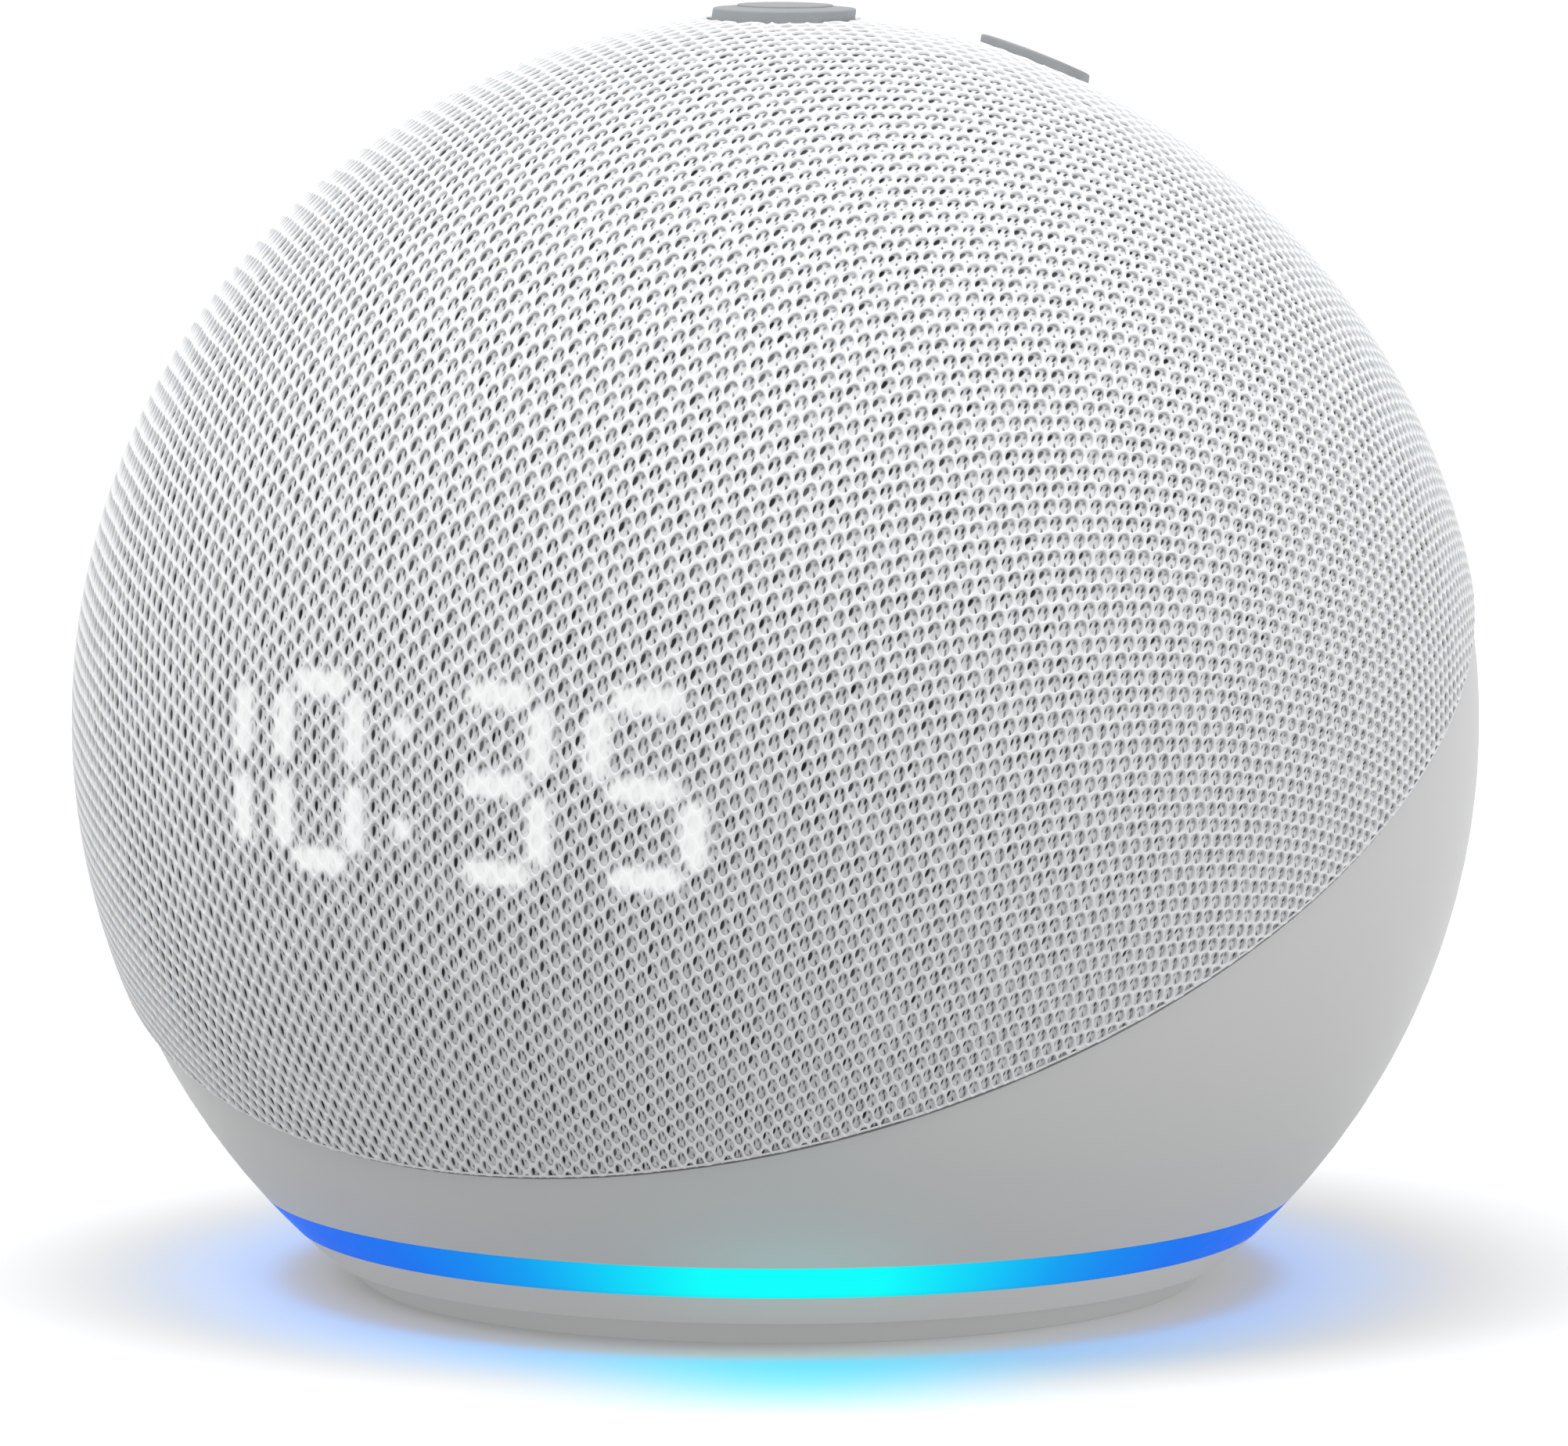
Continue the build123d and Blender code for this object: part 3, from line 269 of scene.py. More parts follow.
wear(glow, "light_ring")

# Some of it leaks onto the base's skirt below.
skirt = base_plastic.node_tree.nodes["Principled BSDF"]
place = Wire(base_plastic.node_tree).node("TexCoord", None, None, out="Object")
leak = bearing(place).within(0.16, 0.0) * place.axes()[2].within(0.001, ring_low)
feed(skirt, Emission_Color=(leak * 0.05).mixed((0.0, 0.0, 0.0), (0.0, 1.0, 0.95)))

# ------------------------------------------------------------------ light board
# The ring's board is a round of glass-fibre laminate with green solder mask,
# twelve white diodes with yellow gel windows, and a link to the main board.


def laminate(name, mask_colour, lands=(0.78, 0.66, 0.36)):
    """Glass-fibre laminate: copper runs show as a lighter green under the mask,
    and small plated pads break through it."""
    finish, shader, place = new_finish(name, Coat_Weight=0.25, Coat_Roughness=0.2)
    runs = place.node(
        "TexBrick",
        {"offset": 0.31, "squash": 0.8},
        {"Vector": place, "Scale": 260.0, "Mortar Size": 0.06, "Mortar Smooth": 0.15},
        out="Fac",
    )
    dots = place.node("TexVoronoi", {"feature": "DISTANCE_TO_EDGE"},
                      {"Vector": place, "Scale": 420.0})
    pads = dots.within(0.34, 0.37)
    lit = tuple(min(1.0, c * 1.9 + 0.01) for c in mask_colour)
    feed(
        shader,
        Base_Color=pads.mixed(runs.mixed(mask_colour, lit), lands),
        Roughness=pads * -0.12 + runs * 0.08 + 0.34,
        Metallic=pads,
        Normal=raised(runs + pads, 0.3, 0.00003),
    )
    return finish


green_board = laminate("green_laminate", (0.012, 0.085, 0.04))
wear(green_board, "light_board")
wear(moulded("diode_body", (0.86, 0.82, 0.62), 0.3), "ring_lights", "clock_diodes")
ivory = moulded("connector_nylon", (0.74, 0.71, 0.63), 0.5)
wear(ivory, "board_link", "board_connectors")

# ------------------------------------------------------------------ rear housing
# The lower half of the ball is one moulding of warm light grey plastic with a
# satin spark-eroded skin. The ring's light creeps a little way up its foot.

satin, shader, place = new_finish(
    "housing_satin", Emission_Strength=1.0, Specular_IOR_Level=0.42
)
slow = speckle(place, 26.0, 2.0)
skin = speckle(place, 7500.0, 2.0)
pits = speckle(place, 2600.0, 1.0)
height = place.axes()[2]
near_ring = (height.within(ring_high + 0.0060, ring_high - 0.0012)
             + height.within(ring_high + 0.0022, ring_high - 0.0004) * 0.6)
ahead = bearing(place).within(0.12, 0.0)
feed(
    shader,
    Base_Color=(slow * 0.7 + skin * 0.3).mixed((0.632, 0.629, 0.620), (0.672, 0.669, 0.660)),
    Roughness=slow * 0.08 + skin * 0.10 + 0.36,
    Normal=raised(skin * 0.7 + pits * 0.3, 0.22, 0.00002),
    Emission_Color=(near_ring * ahead * 0.05).mixed((0.0, 0.0, 0.0), (0.0, 1.0, 0.95)),
)
wear(satin, "rear_housing")

# ------------------------------------------------------------------ sockets
# Behind, in a recess, sit a round power socket with its centre pin and a small
# round audio socket. Both are black moulded bodies on the main board.

black_nylon = moulded("socket_nylon", (0.018, 0.018, 0.019), 0.36, 12000.0)
wear(black_nylon, "power_jack", "audio_jack")
wear(plated("pin_plate", (0.80, 0.74, 0.58), 0.22), "power_jack_pin")

# ------------------------------------------------------------------ main board
# The main board carries the processor under a thermal pad and an aluminium
# spreader, the radio under a tinned can, the amplifier and its coils.

wear(green_board, "main_board")
wear(moulded("chip_epoxy", (0.022, 0.022, 0.024), 0.5, 16000.0), "processor",
     "amplifier_chip", "wireless_module")
wear(moulded("thermal_gel", (0.36, 0.40, 0.50), 0.7, 5000.0), "thermal_pad")
wear(plated("spreader_aluminium", (0.77, 0.78, 0.79), 0.36, 9000.0, (0.05, 1.0, 1.0)),
     "heat_spreader")
wear(plated("tinned_can", (0.72, 0.72, 0.70), 0.30), "shield_can")
wear(moulded("capacitor_sleeve", (0.03, 0.035, 0.05), 0.3), "capacitors")
wear(moulded("ferrite_grey", (0.085, 0.085, 0.09), 0.62, 6000.0), "inductors")

# ------------------------------------------------------------------ acoustic cup
# The driver breathes into a sealed cup of black glass-filled plastic that
# screws to a shelf inside the housing.

wear(moulded("cup_glass_fill", (0.035, 0.035, 0.037), 0.56, 4200.0, 0.4), "acoustic_cup")

# ------------------------------------------------------------------ driver
# A small full-range driver: black painted steel frame, paper cone with a cloth
# spider and rubber surround, copper coil in a nickel-plated ring magnet.

wear(moulded("frame_paint", (0.022, 0.022, 0.023), 0.4, 3000.0, 0.35), "driver_frame")
steel = plated("pole_steel", (0.58, 0.58, 0.56), 0.3)
wear(steel, "driver_top_plate", "driver_yoke")
wear(plated("magnet_nickel", (0.70, 0.69, 0.66), 0.16, 800.0), "driver_magnet")

pulp, shader, place = new_finish("cone_paper")
fibres = speckle(place, 1500.0, 6.0, (1.0, 1.0, 0.35))
clots = speckle(place, 420.0, 3.0)
feed(
    shader,
    Base_Color=(fibres * 0.6 + clots * 0.4).mixed((0.018, 0.018, 0.019), (0.06, 0.058, 0.056)),
    Roughness=fibres * 0.2 + 0.7,
    Normal=raised(fibres, 0.6, 0.00006),
)
wear(pulp, "cone", "dust_cap")

winding, shader, place = new_finish("coil_copper", Metallic=1.0)
turns = place.node("TexWave", {"bands_direction": "Z"},
                   {"Vector": place, "Scale": 1800.0, "Distortion": 0.2})
feed(
    shader,
    Base_Color=turns.mixed((0.42, 0.17, 0.07), (0.86, 0.45, 0.22)),
    Roughness=turns * -0.12 + 0.36,
    Normal=raised(turns, 0.8, 0.00008),
)
wear(winding, "voice_coil")
black_rubber = moulded("surround_rubber", (0.028, 0.028, 0.029), 0.5, 5000.0, 0.3)
wear(black_rubber, "surround", "driver_gasket", "microphone_boots")

amber_cloth, shader, place = new_finish("spider_cloth")
warp = place.node("TexWave", {"bands_direction": "X"}, {"Vector": place, "Scale": 900.0})
weft = place.node("TexWave", {"bands_direction": "Y"}, {"Vector": place, "Scale": 900.0})
cross = warp * 0.5 + weft * 0.5
feed(
    shader,
    Base_Color=cross.mixed((0.30, 0.20, 0.07), (0.62, 0.46, 0.20)),
    Roughness=cross * 0.2 + 0.6,
    Normal=raised(cross, 0.7, 0.00008),
)
wear(amber_cloth, "spider")
wear(plated("terminal_tin", (0.74, 0.72, 0.66), 0.3), "driver_terminals")
wear(moulded("lead_sleeve", (0.05, 0.05, 0.055), 0.42, 9000.0), "speaker_leads")

# ------------------------------------------------------------------ grille dome
# The cloth is stretched over a stiff dome of dark plastic, moulded full of
# small sound holes away from the clock.

wear(moulded("grille_plastic", (0.045, 0.047, 0.05), 0.6, 5200.0, 0.35), "grille_dome")

# ------------------------------------------------------------------ clock
# A narrow board behind the dome holds the diodes. A light grey mask with one
# clear window for each segment keeps their light apart: the time reads 10:35.

white_board = laminate("white_laminate", (0.45, 0.46, 0.46))
wear(white_board, "clock_board")
wear(moulded("mask_plastic", (0.62, 0.63, 0.64), 0.55, 6000.0), "clock_mask")


def window(name, light):
    """Frosted clear acrylic, lit from behind."""
    finish, shader, place = new_finish(
        name, Emission_Strength=1.0, Coat_Weight=0.3
    )
    frost = speckle(place, 2600.0, 2.0)
    feed(
        shader,
        Base_Color=frost.mixed((0.70, 0.72, 0.74), (0.80, 0.82, 0.83)),
        Roughness=frost * 0.2 + 0.3,
        Emission_Color=frost.mixed((light * 0.92,) * 3, (light,) * 3),
    )
    return finish


wear(window("segment_lit", 1.4), "clock_segments_lit")
wear(window("segment_unlit", 0.0), "clock_segments_unlit")

ribbon, shader, place = new_finish("ribbon_cable", Coat_Weight=0.3)
cores = place.node("TexWave", {"bands_direction": "X"}, {"Vector": place, "Scale": 320.0})
feed(
    shader,
    Base_Color=cores.within(0.3, 0.7).mixed((0.78, 0.78, 0.76), (0.50, 0.47, 0.40)),
    Roughness=cores * 0.15 + 0.35,
    Normal=raised(cores, 0.4, 0.00005),
)
wear(ribbon, "clock_cable", "top_cable")

# ------------------------------------------------------------------ keys
# Four round keys stand just proud of the cloth. They are blue-grey silicone
# over plastic, and each presses a plunger onto a switch of the top board.

soft_key, shader, place = new_finish("key_silicone", Sheen_Weight=0.08)
slow = speckle(place, 120.0, 2.0)
skin = speckle(place, 8200.0, 2.0)
feed(
    shader,
    Base_Color=(slow * 0.6 + skin * 0.4).mixed((0.280, 0.290, 0.302), (0.326, 0.337, 0.350)),
    Roughness=slow * 0.08 + skin * 0.12 + 0.46,
    Normal=raised(skin, 0.3, 0.00002),
)
wear(soft_key, "key_front", "key_right", "key_left", "key_back")
wear(black_nylon, "switch_plunger_front", "switch_plunger_right",
     "switch_plunger_left", "switch_plunger_back")
wear(green_board, "top_board")
wear(plated("switch_tin", (0.70, 0.70, 0.69), 0.28), "key_switches")
wear(plated("microphone_lid", (0.80, 0.70, 0.44), 0.3, 2600.0), "microphones")

# ------------------------------------------------------------------ cloth cover
# The cover is one piece of white warp-knitted spacer cloth, shaped with heat and
# stretched over the dome. Its face is an open net of rounded yarns, its back a
# denser layer a quarter of a millimetre below. It tucks into the seam and key holes.

cloth_radius = 0.05
ball_centre = np.array([0.0, 0.0, ball_middle])
column_pitch, row_pitch = 0.00098565, 0.001698
knit_lean = math.radians(33.24)  # the cloth was pulled down about this leaning pole
seam_lean = math.radians(29.4)
seam_turn = math.asin(-0.0027 / cloth_radius)
key_lean = math.radians(-16.0)  # the keys lie behind the top
key_circle = 0.0131
key_holes = ((0.0, -1.0, 0.0053), (1.0, 0.0, 0.0043), (-1.0, 0.0, 0.0043), (0.0, 1.0, 0.0043))
face_bend = 0.00030  # radius at which the cloth turns in at an edge
tuck_depth = 0.00072  # the deepest that it goes there
blank_reach = 0.0905  # from the knit's pole to the farthest cell of the flat cloth
tuck_length = 0.0006  # cells are kept this far past an edge


def leaning(angle):
    """Side, back and up directions of a frame that leans forward by an angle."""
    s, c = math.sin(angle), math.cos(angle)
    return np.array([[1, 0, 0], [0, c, s], [0, -s, c]], float)


def draped(u, v):
    """Direction from the ball's centre to the flat cloth's point (u, v). The cloth's
    distance from its pole is the ball's radius times t + 0.0069 t^3 + 0.0039 t^5,
    where t is the angle from the pole, because the stretch grows towards the rim."""
    far = np.hypot(u, v)
    turn = far / cloth_radius
    for _ in range(8):
        over = turn + 0.0069 * turn**3 + 0.0039 * turn**5 - far / cloth_radius
        turn = turn - over / (1 + 0.0207 * turn**2 + 0.0195 * turn**4)
    out = np.sin(turn) / np.maximum(far, 1e-12)
    return np.stack([out * u, out * v, np.cos(turn)], -1) @ leaning(knit_lean)


def undraped(direction):
    """Flat cloth's (u, v) for a direction from the ball's centre, by the same rule."""
    x, y, z = (direction @ leaning(knit_lean).T).T
    across = np.hypot(x, y)
    turn = np.arctan2(across, z)
    far = cloth_radius * (turn + 0.0069 * turn**3 + 0.0039 * turn**5)
    return far * x / np.maximum(across, 1e-12), far * y / np.maximum(across, 1e-12)


def bent(past, depth, bend):
    """Where a cloth at some depth goes when it passes a round edge. `past` is its
    distance inside the edge line: above `bend` it lies flat, then it turns a quarter
    circle of that radius and runs straight in. Returns the new distance and depth."""
    run = np.clip(bend - past, 0, None)
    turn = np.minimum(run / bend, math.pi / 2)
    straight = np.clip(run - bend * math.pi / 2, 0, None)
    inside = np.clip(bend - depth, 0.00002, None)
    distance = np.where(run > 0, bend - inside * np.sin(turn), past)
    lower = np.where(run > 0, bend - inside * np.cos(turn) + straight, depth)
    return distance, np.minimum(lower, tuck_depth)


def on_ball(direction, depth, bend=face_bend):
    """Points of the cover at a depth under its face, tucked in at the four key holes
    and at the seam. Key holes are round about the key board's axis, the seam about
    its own, so each is worked out in that frame and turned back."""
    frame_of_keys = leaning(key_lean)
    at = direction @ frame_of_keys.T * cloth_radius
    for side, back, hole in key_holes:
        across, along = at[..., 0] - side * key_circle, at[..., 1] - back * key_circle
        out = np.hypot(across, along)
        near = (out < hole + bend) & (at[..., 2] > 0)
        new_out, new_depth = bent(out - hole, depth, bend)
        scale = np.where(near, (new_out + hole) / np.maximum(out, 1e-9), 1.0)
        at[..., 0] = side * key_circle + across * scale
        at[..., 1] = back * key_circle + along * scale
        depth = np.where(near, new_depth, depth)
        up = np.sqrt(np.clip(cloth_radius**2 - at[..., 0]**2 - at[..., 1]**2, 0, None))
        at[..., 2] = np.where(near, up, at[..., 2])
    direction = at @ frame_of_keys / cloth_radius
    frame_of_seam = leaning(seam_lean)
    at = direction @ frame_of_seam.T
    turn = np.arcsin(np.clip(at[..., 2], -1, 1))
    past, new_depth = bent((turn - seam_turn) * cloth_radius, depth, bend)
    near = (turn - seam_turn) * cloth_radius < bend
    turn = np.where(near, seam_turn + past / cloth_radius, turn)
    depth = np.where(near, new_depth, depth)
    flat = np.maximum(np.hypot(at[..., 0], at[..., 1]), 1e-12)
    at = np.stack([at[..., 0] / flat * np.cos(turn), at[..., 1] / flat * np.cos(turn),
                   np.sin(turn)], -1)
    return ball_centre + (at @ frame_of_seam) * (cloth_radius - depth)[..., None]


def beyond(direction):
    """How far a point lies outside the cover's edges, at the seam or in a key hole,
    in metres. It is negative on the cloth."""
    at = direction @ leaning(seam_lean).T
    over = (seam_turn - np.arcsin(np.clip(at[..., 2], -1, 1))) * cloth_radius
    at = direction @ leaning(key_lean).T * cloth_radius
    for side, back, hole in key_holes:
        out = np.hypot(at[..., 0] - side * key_circle, at[..., 1] - back * key_circle)
        over = np.where(at[..., 2] > 0, np.maximum(over, hole - out), over)
    return over


clock_side, clock_rise = 0.0004, 0.0012  # the clock's middle, from the ball's
digit_half_width, digit_half_height = 0.0031, 0.006
bar_half_width, bar_half_length, bar_blur = 0.000825, 0.00245, 0.00030
dot_spread, dot_radius = 0.0034, 0.00075


def segment_bars():
    """Middles, half lengths and direction of the lit bars of the time 10:35, as they
    are seen from the front: x across and z above the ball's middle."""
    shown = ((-0.01715, "bc"), (-0.00705, "abcdef"), (0.00705, "abgcd"), (0.01715, "afgcd"))
    place = {"a": (0, 1, 0), "g": (0, 0, 0), "d": (0, -1, 0), "b": (1, 0.5, 1),
             "c": (1, -0.5, 1), "e": (-1, -0.5, 1), "f": (-1, 0.5, 1)}
    for middle, names in shown:
        for name in names:
            across, above, upright = place[name]
            middle_x = middle + digit_half_width * across + clock_side
            yield middle_x, clock_rise + digit_half_height * above, upright


def clock_light(points):
    """0 to 1: how brightly the clock lights the cover at these points. The light of
    a bar fades out over its edge, a third of a millimetre each way, because the
    cloth spreads it, and bars end in points."""
    x, z = points[..., 0], points[..., 2] - ball_middle
    gap = np.full(x.shape, 1.0)
    for middle_x, middle_z, upright in segment_bars():
        across, along = (x - middle_x, z - middle_z) if upright else (z - middle_z, x - middle_x)
        side, end = np.abs(across) - bar_half_width, np.abs(along) - bar_half_length
        point = (np.abs(across) * 0.55 / 0.825 + end) * 0.83
        gap = np.minimum(gap, np.maximum(np.maximum(side, end), point))
    for dot in (-dot_spread, dot_spread):
        gap = np.minimum(gap, np.hypot(x - clock_side, z - clock_rise - dot) - dot_radius)
    step = np.clip((bar_blur - gap) / (2 * bar_blur), 0, 1)
    return np.where(points[..., 1] < 0, step * step * (3 - 2 * step), 0.0)


def grid_piece(name, points, faces, finish, maps=(), fades=(), normals=None):
    """A mesh piece from points and quads, with UV maps given for each face corner,
    numbers given for each point, and the normals of the surface it is a part of."""
    mesh = bpy.data.meshes.new(name)
    mesh.vertices.add(len(points))
    mesh.vertices.foreach_set("co", np.asarray(points, np.float32).ravel())
    mesh.loops.add(faces.size)
    mesh.loops.foreach_set("vertex_index", np.asarray(faces, np.int32).ravel())
    mesh.polygons.add(len(faces))
    width = faces.shape[1]
    mesh.polygons.foreach_set("loop_start", np.arange(len(faces), dtype=np.int32) * width)
    for key, corners in maps:
        layer = mesh.uv_layers.new(name=key)
        layer.uv.foreach_set("vector", np.asarray(corners, np.float32).ravel())
    for key, values in fades:
        layer = mesh.attributes.new(key, "FLOAT", "POINT")
        layer.data.foreach_set("value", np.asarray(values, np.float32))
    mesh.update(calc_edges=True)
    mesh.validate()
    mesh.shade_smooth()
    if normals is not None:
        mesh.normals_split_custom_set_from_vertices(normals.tolist())
    mesh.materials.append(finish)
    piece = bpy.data.objects.new(name, mesh)
    bpy.context.scene.collection.objects.link(piece)
    return piece


def point_normals(points, faces):
    """Normals of a quad mesh's points: the sum of the cross products of the
    diagonals of the faces round each point, made one long."""
    a, b, c, d = (points[faces[:, i]] for i in range(4))
    flat = np.cross(c - a, d - b)
    found = np.zeros_like(points)
    for i in range(4):
        for axis in range(3):
            found[:, axis] += np.bincount(faces[:, i], flat[:, axis], len(points))
    return found / np.maximum(np.linalg.norm(found, axis=1), 1e-20)[:, None]


# The face net. Every hole has a six-sided cell whose sides are the ridges of the
# yarns. Each cell is three bands of quads that run from the ridge over the yarn's
# round to the rim of the hole, and down its wall.

reach_u, reach_v = 96, 108  # columns and half rows, more than the blank holds
column, row = np.meshgrid(np.arange(-reach_u, reach_u + 1), np.arange(-reach_v, reach_v + 1))
picked = (column + row) % 2 == 0
column, row = column[picked], row[picked]
cell_u, cell_v = column * column_pitch, row * row_pitch / 2
inside = np.hypot(cell_u, cell_v) < blank_reach
column, row, cell_u, cell_v = (a[inside] for a in (column, row, cell_u, cell_v))
kept = beyond(draped(cell_u, cell_v)) < tuck_length
column, row, cell_u, cell_v = (a[kept] for a in (column, row, cell_u, cell_v))

pitch_u, pitch_v = 2 * column_pitch, row_pitch
side_tip = (pitch_u**2 + pitch_v**2) / (4 * pitch_u)
top_tip = (pitch_u**2 - pitch_v**2) / (4 * pitch_u)
thirds = np.array([0.0, 1 / 3, 2 / 3])
quarter_u = side_tip + (top_tip - side_tip) * thirds
quarter_v = pitch_v / 2 * thirds
ridge_u = np.concatenate([quarter_u, [top_tip], [-top_tip], -quarter_u[:0:-1],
                          -quarter_u, [-top_tip], [top_tip], quarter_u[:0:-1]])
ridge_v = np.concatenate([quarter_v, [pitch_v / 2], [pitch_v / 2], quarter_v[:0:-1],
                          -quarter_v, [-pitch_v / 2], [-pitch_v / 2], -quarter_v[:0:-1]])
corners = len(ridge_u)
clockwise = 2 * math.pi * np.arange(corners) / corners

chance = np.random.default_rng(7)
cells = len(cell_u)
odd = column % 2 != 0
hole_u = np.where(odd, 0.00045, 0.00050) * (1 + 0.035 * chance.standard_normal(cells))
hole_v = np.where(odd, 0.00064, 0.00067) * (1 + 0.030 * chance.standard_normal(cells))
squareness = 0.10 + 0.03 * chance.standard_normal(cells)
cos_k, sin_k = np.cos(clockwise), np.sin(clockwise)
rim_u = hole_u[:, None] * cos_k * (1 - squareness[:, None] * cos_k**2 * 0.4)
rim_v = hole_v[:, None] * sin_k * (1 + squareness[:, None] * (np.abs(sin_k) - 0.7))
rim_u = rim_u + (0.000018 * chance.standard_normal((cells, 1)))
rim_v = rim_v + (0.000022 * chance.standard_normal((cells, 1)))

shares = np.array([0.0, 0.52, 1.0, 0.90])
depths = np.array([0.00003, 0.00004, 0.00010, 0.00026])
flat_shares = np.array([0.0, 0.52, 1.0, 1.25])


def cell_rings(share):
    """Flat (u, v) of every cell's rings: each ring goes the given share of the way
    from the ridge to the hole's rim."""
    u = ridge_u + share[:, None] * (rim_u[:, None, :] - ridge_u)
    v = ridge_v + share[:, None] * (rim_v[:, None, :] - ridge_v)
    return cell_u[:, None, None] + u, cell_v[:, None, None] + v


def ruffled(u, v):
    """Small slow shifts of the cloth, up to a twentieth of a millimetre, so that its
    rows aren't ruled lines: three crossed sines for each way."""
    shift_u = 0.000028 * (np.sin(u * 610 + v * 260 + 1.0) + np.sin(v * 890 - u * 150 + 2.2))
    shift_v = 0.000028 * (np.sin(v * 540 - u * 330 + 0.4) + np.sin(u * 970 + v * 120 + 4.1))
    return u + shift_u, v + shift_v


net_u, net_v = cell_rings(shares)
level = depths[:, None] * np.ones(corners) + 0.00001 * np.cos(2 * clockwise)
level = level[None] + np.zeros((cells, 1, 1))
level[:, 2:] += 0.000012 * chance.standard_normal((cells, 1, 1))
shifted_u, shifted_v = ruffled(net_u, net_v)
net_points = on_ball(draped(shifted_u, shifted_v), level).reshape(-1, 3)

index = np.arange(cells * 4 * corners).reshape(cells, 4, corners)
same_place, off_edge = 2e-6, 3.1e-8  # neighbouring cells share their ridge's points
marks = np.round((np.stack([net_u[:, 0], net_v[:, 0]], -1) + off_edge) / same_place)
marks = marks.astype(np.int64)
code = marks[..., 0] * 1_000_003 + marks[..., 1]
_, first, same = np.unique(code.ravel(), return_index=True, return_inverse=True)
ridge_index = index[:, 0].ravel()
index[:, 0] = ridge_index[first][same.ravel()].reshape(cells, corners)
after = np.roll(index, -1, axis=2)
quads = np.stack([index[:, :-1], after[:, :-1], after[:, 1:], index[:, 1:]], -1)
normals = point_normals(net_points, quads.reshape(-1, 4))
lit_points = clock_light(net_points)
map_u, map_v = cell_rings(flat_shares)
map_at = np.stack([map_u, map_v], -1).reshape(-1, 2)
own = np.arange(cells * 4 * corners).reshape(cells, 4, corners)
own_after = np.roll(own, -1, axis=2)
own_quads = np.stack([own[:, :-1], own_after[:, :-1], own_after[:, 1:], own[:, 1:]], -1)

yarn, shader, place = new_finish(
    "face_yarn", Sheen_Weight=0.12, Sheen_Roughness=0.5, Emission_Strength=1.0,
    Specular_IOR_Level=0.25,
)
fuzz = speckle(place, 9000.0, 3.0)
ply = speckle(place, 3200.0, 2.0)
wash = speckle(place, 30.0, 2.0)
shine = place.node("Attribute", {"attribute_name": "clock_light"}, None, out="Fac")
feed(
    shader,
    Base_Color=shine.mixed(
        (fuzz * 0.5 + ply * 0.3 + wash * 0.2).mixed((0.82, 0.83, 0.84), (0.92, 0.93, 0.94)),
        (0.14, 0.14, 0.14),
    ),
    Roughness=fuzz * 0.2 + 0.68,
    Normal=raised(fuzz * 0.5 + ply * 0.5, 0.35, 0.00003),
    Emission_Color=(shine * (fuzz * 0.1 + 0.92)).mixed((0.0, 0.0, 0.0), (0.80, 0.82, 0.81)),
)

gores = 8
gore = np.floor((np.arctan2(cell_v, cell_u) / (2 * math.pi) + 0.5) * gores).astype(int)
gore = gore.clip(0, gores - 1)
nets = []
for number in range(gores):
    mine = gore == number
    faces = quads[mine].reshape(-1, 4)
    used, local = np.unique(faces, return_inverse=True)
    at = map_at[own_quads[mine].reshape(-1)]
    low, high = at.min(0), at.max(0)
    nets.append(grid_piece(
        f"cover_net_{number + 1}", net_points[used], local.reshape(-1, 4), yarn,
        maps=[("OFBake", 0.004 + 0.992 * (at - low) / (high - low).max())],
        fades=[("clock_light", lit_points[used])],
        normals=normals[used],
    ))

# The back layer: a smooth dome just under the face net, on rings about
# the seam's axis. Its own knit, with painted shade in its gaps, is drawn in cell units.

around, rings = 480, 184
back_depth, back_inset = 0.00028, 0.00012
hole_margin = 0.0001
ring_turn = np.linspace(seam_turn + back_inset / cloth_radius, math.pi / 2, rings + 1)[:-1]
side_turn = np.linspace(0, 2 * math.pi, around + 1)[:-1]
ring_grid, side_grid = np.meshgrid(ring_turn, side_turn, indexing="ij")
back_dirs = np.stack([np.cos(ring_grid) * np.cos(side_grid),
                      np.cos(ring_grid) * np.sin(side_grid), np.sin(ring_grid)], -1)
back_dirs = np.concatenate([back_dirs.reshape(-1, 3), [[0, 0, 1]]]) @ leaning(seam_lean)
in_keys = back_dirs @ leaning(key_lean).T * cloth_radius
in_hole = np.zeros(len(in_keys), bool)
for side, back, hole in key_holes:
    across, along = in_keys[:, 0] - side * key_circle, in_keys[:, 1] - back * key_circle
    out = np.hypot(across, along)
    near = (out < hole + hole_margin) & (in_keys[:, 2] > 0)
    in_hole |= near
    scale = np.where(near, (hole + hole_margin) / np.maximum(out, 1e-9), 1.0)
    in_keys[:, 0] = side * key_circle + across * scale
    in_keys[:, 1] = back * key_circle + along * scale
    up = np.sqrt(np.clip(cloth_radius**2 - in_keys[:, 0]**2 - in_keys[:, 1]**2, 0, None))
    in_keys[:, 2] = np.where(near, up, in_keys[:, 2])
back_dirs = in_keys @ leaning(key_lean) / cloth_radius
back_points = ball_centre + back_dirs * (cloth_radius - back_depth)
index = np.arange(rings * around).reshape(rings, around)
after = np.roll(index, -1, axis=1)
back_quads = np.stack([index[:-1], after[:-1], after[1:], index[1:]], -1).reshape(-1, 4)
cap = np.stack([index[-1, 0::2], index[-1, 1::2], np.roll(index[-1, 0::2], -1),
                np.full(around // 2, rings * around)], -1)
back_quads = np.concatenate([back_quads, cap])
back_quads = back_quads[~in_hole[back_quads].all(1)]
flat_u, flat_v = undraped(back_dirs)
flat_at = np.stack([flat_u, flat_v], -1)[back_quads.reshape(-1)]

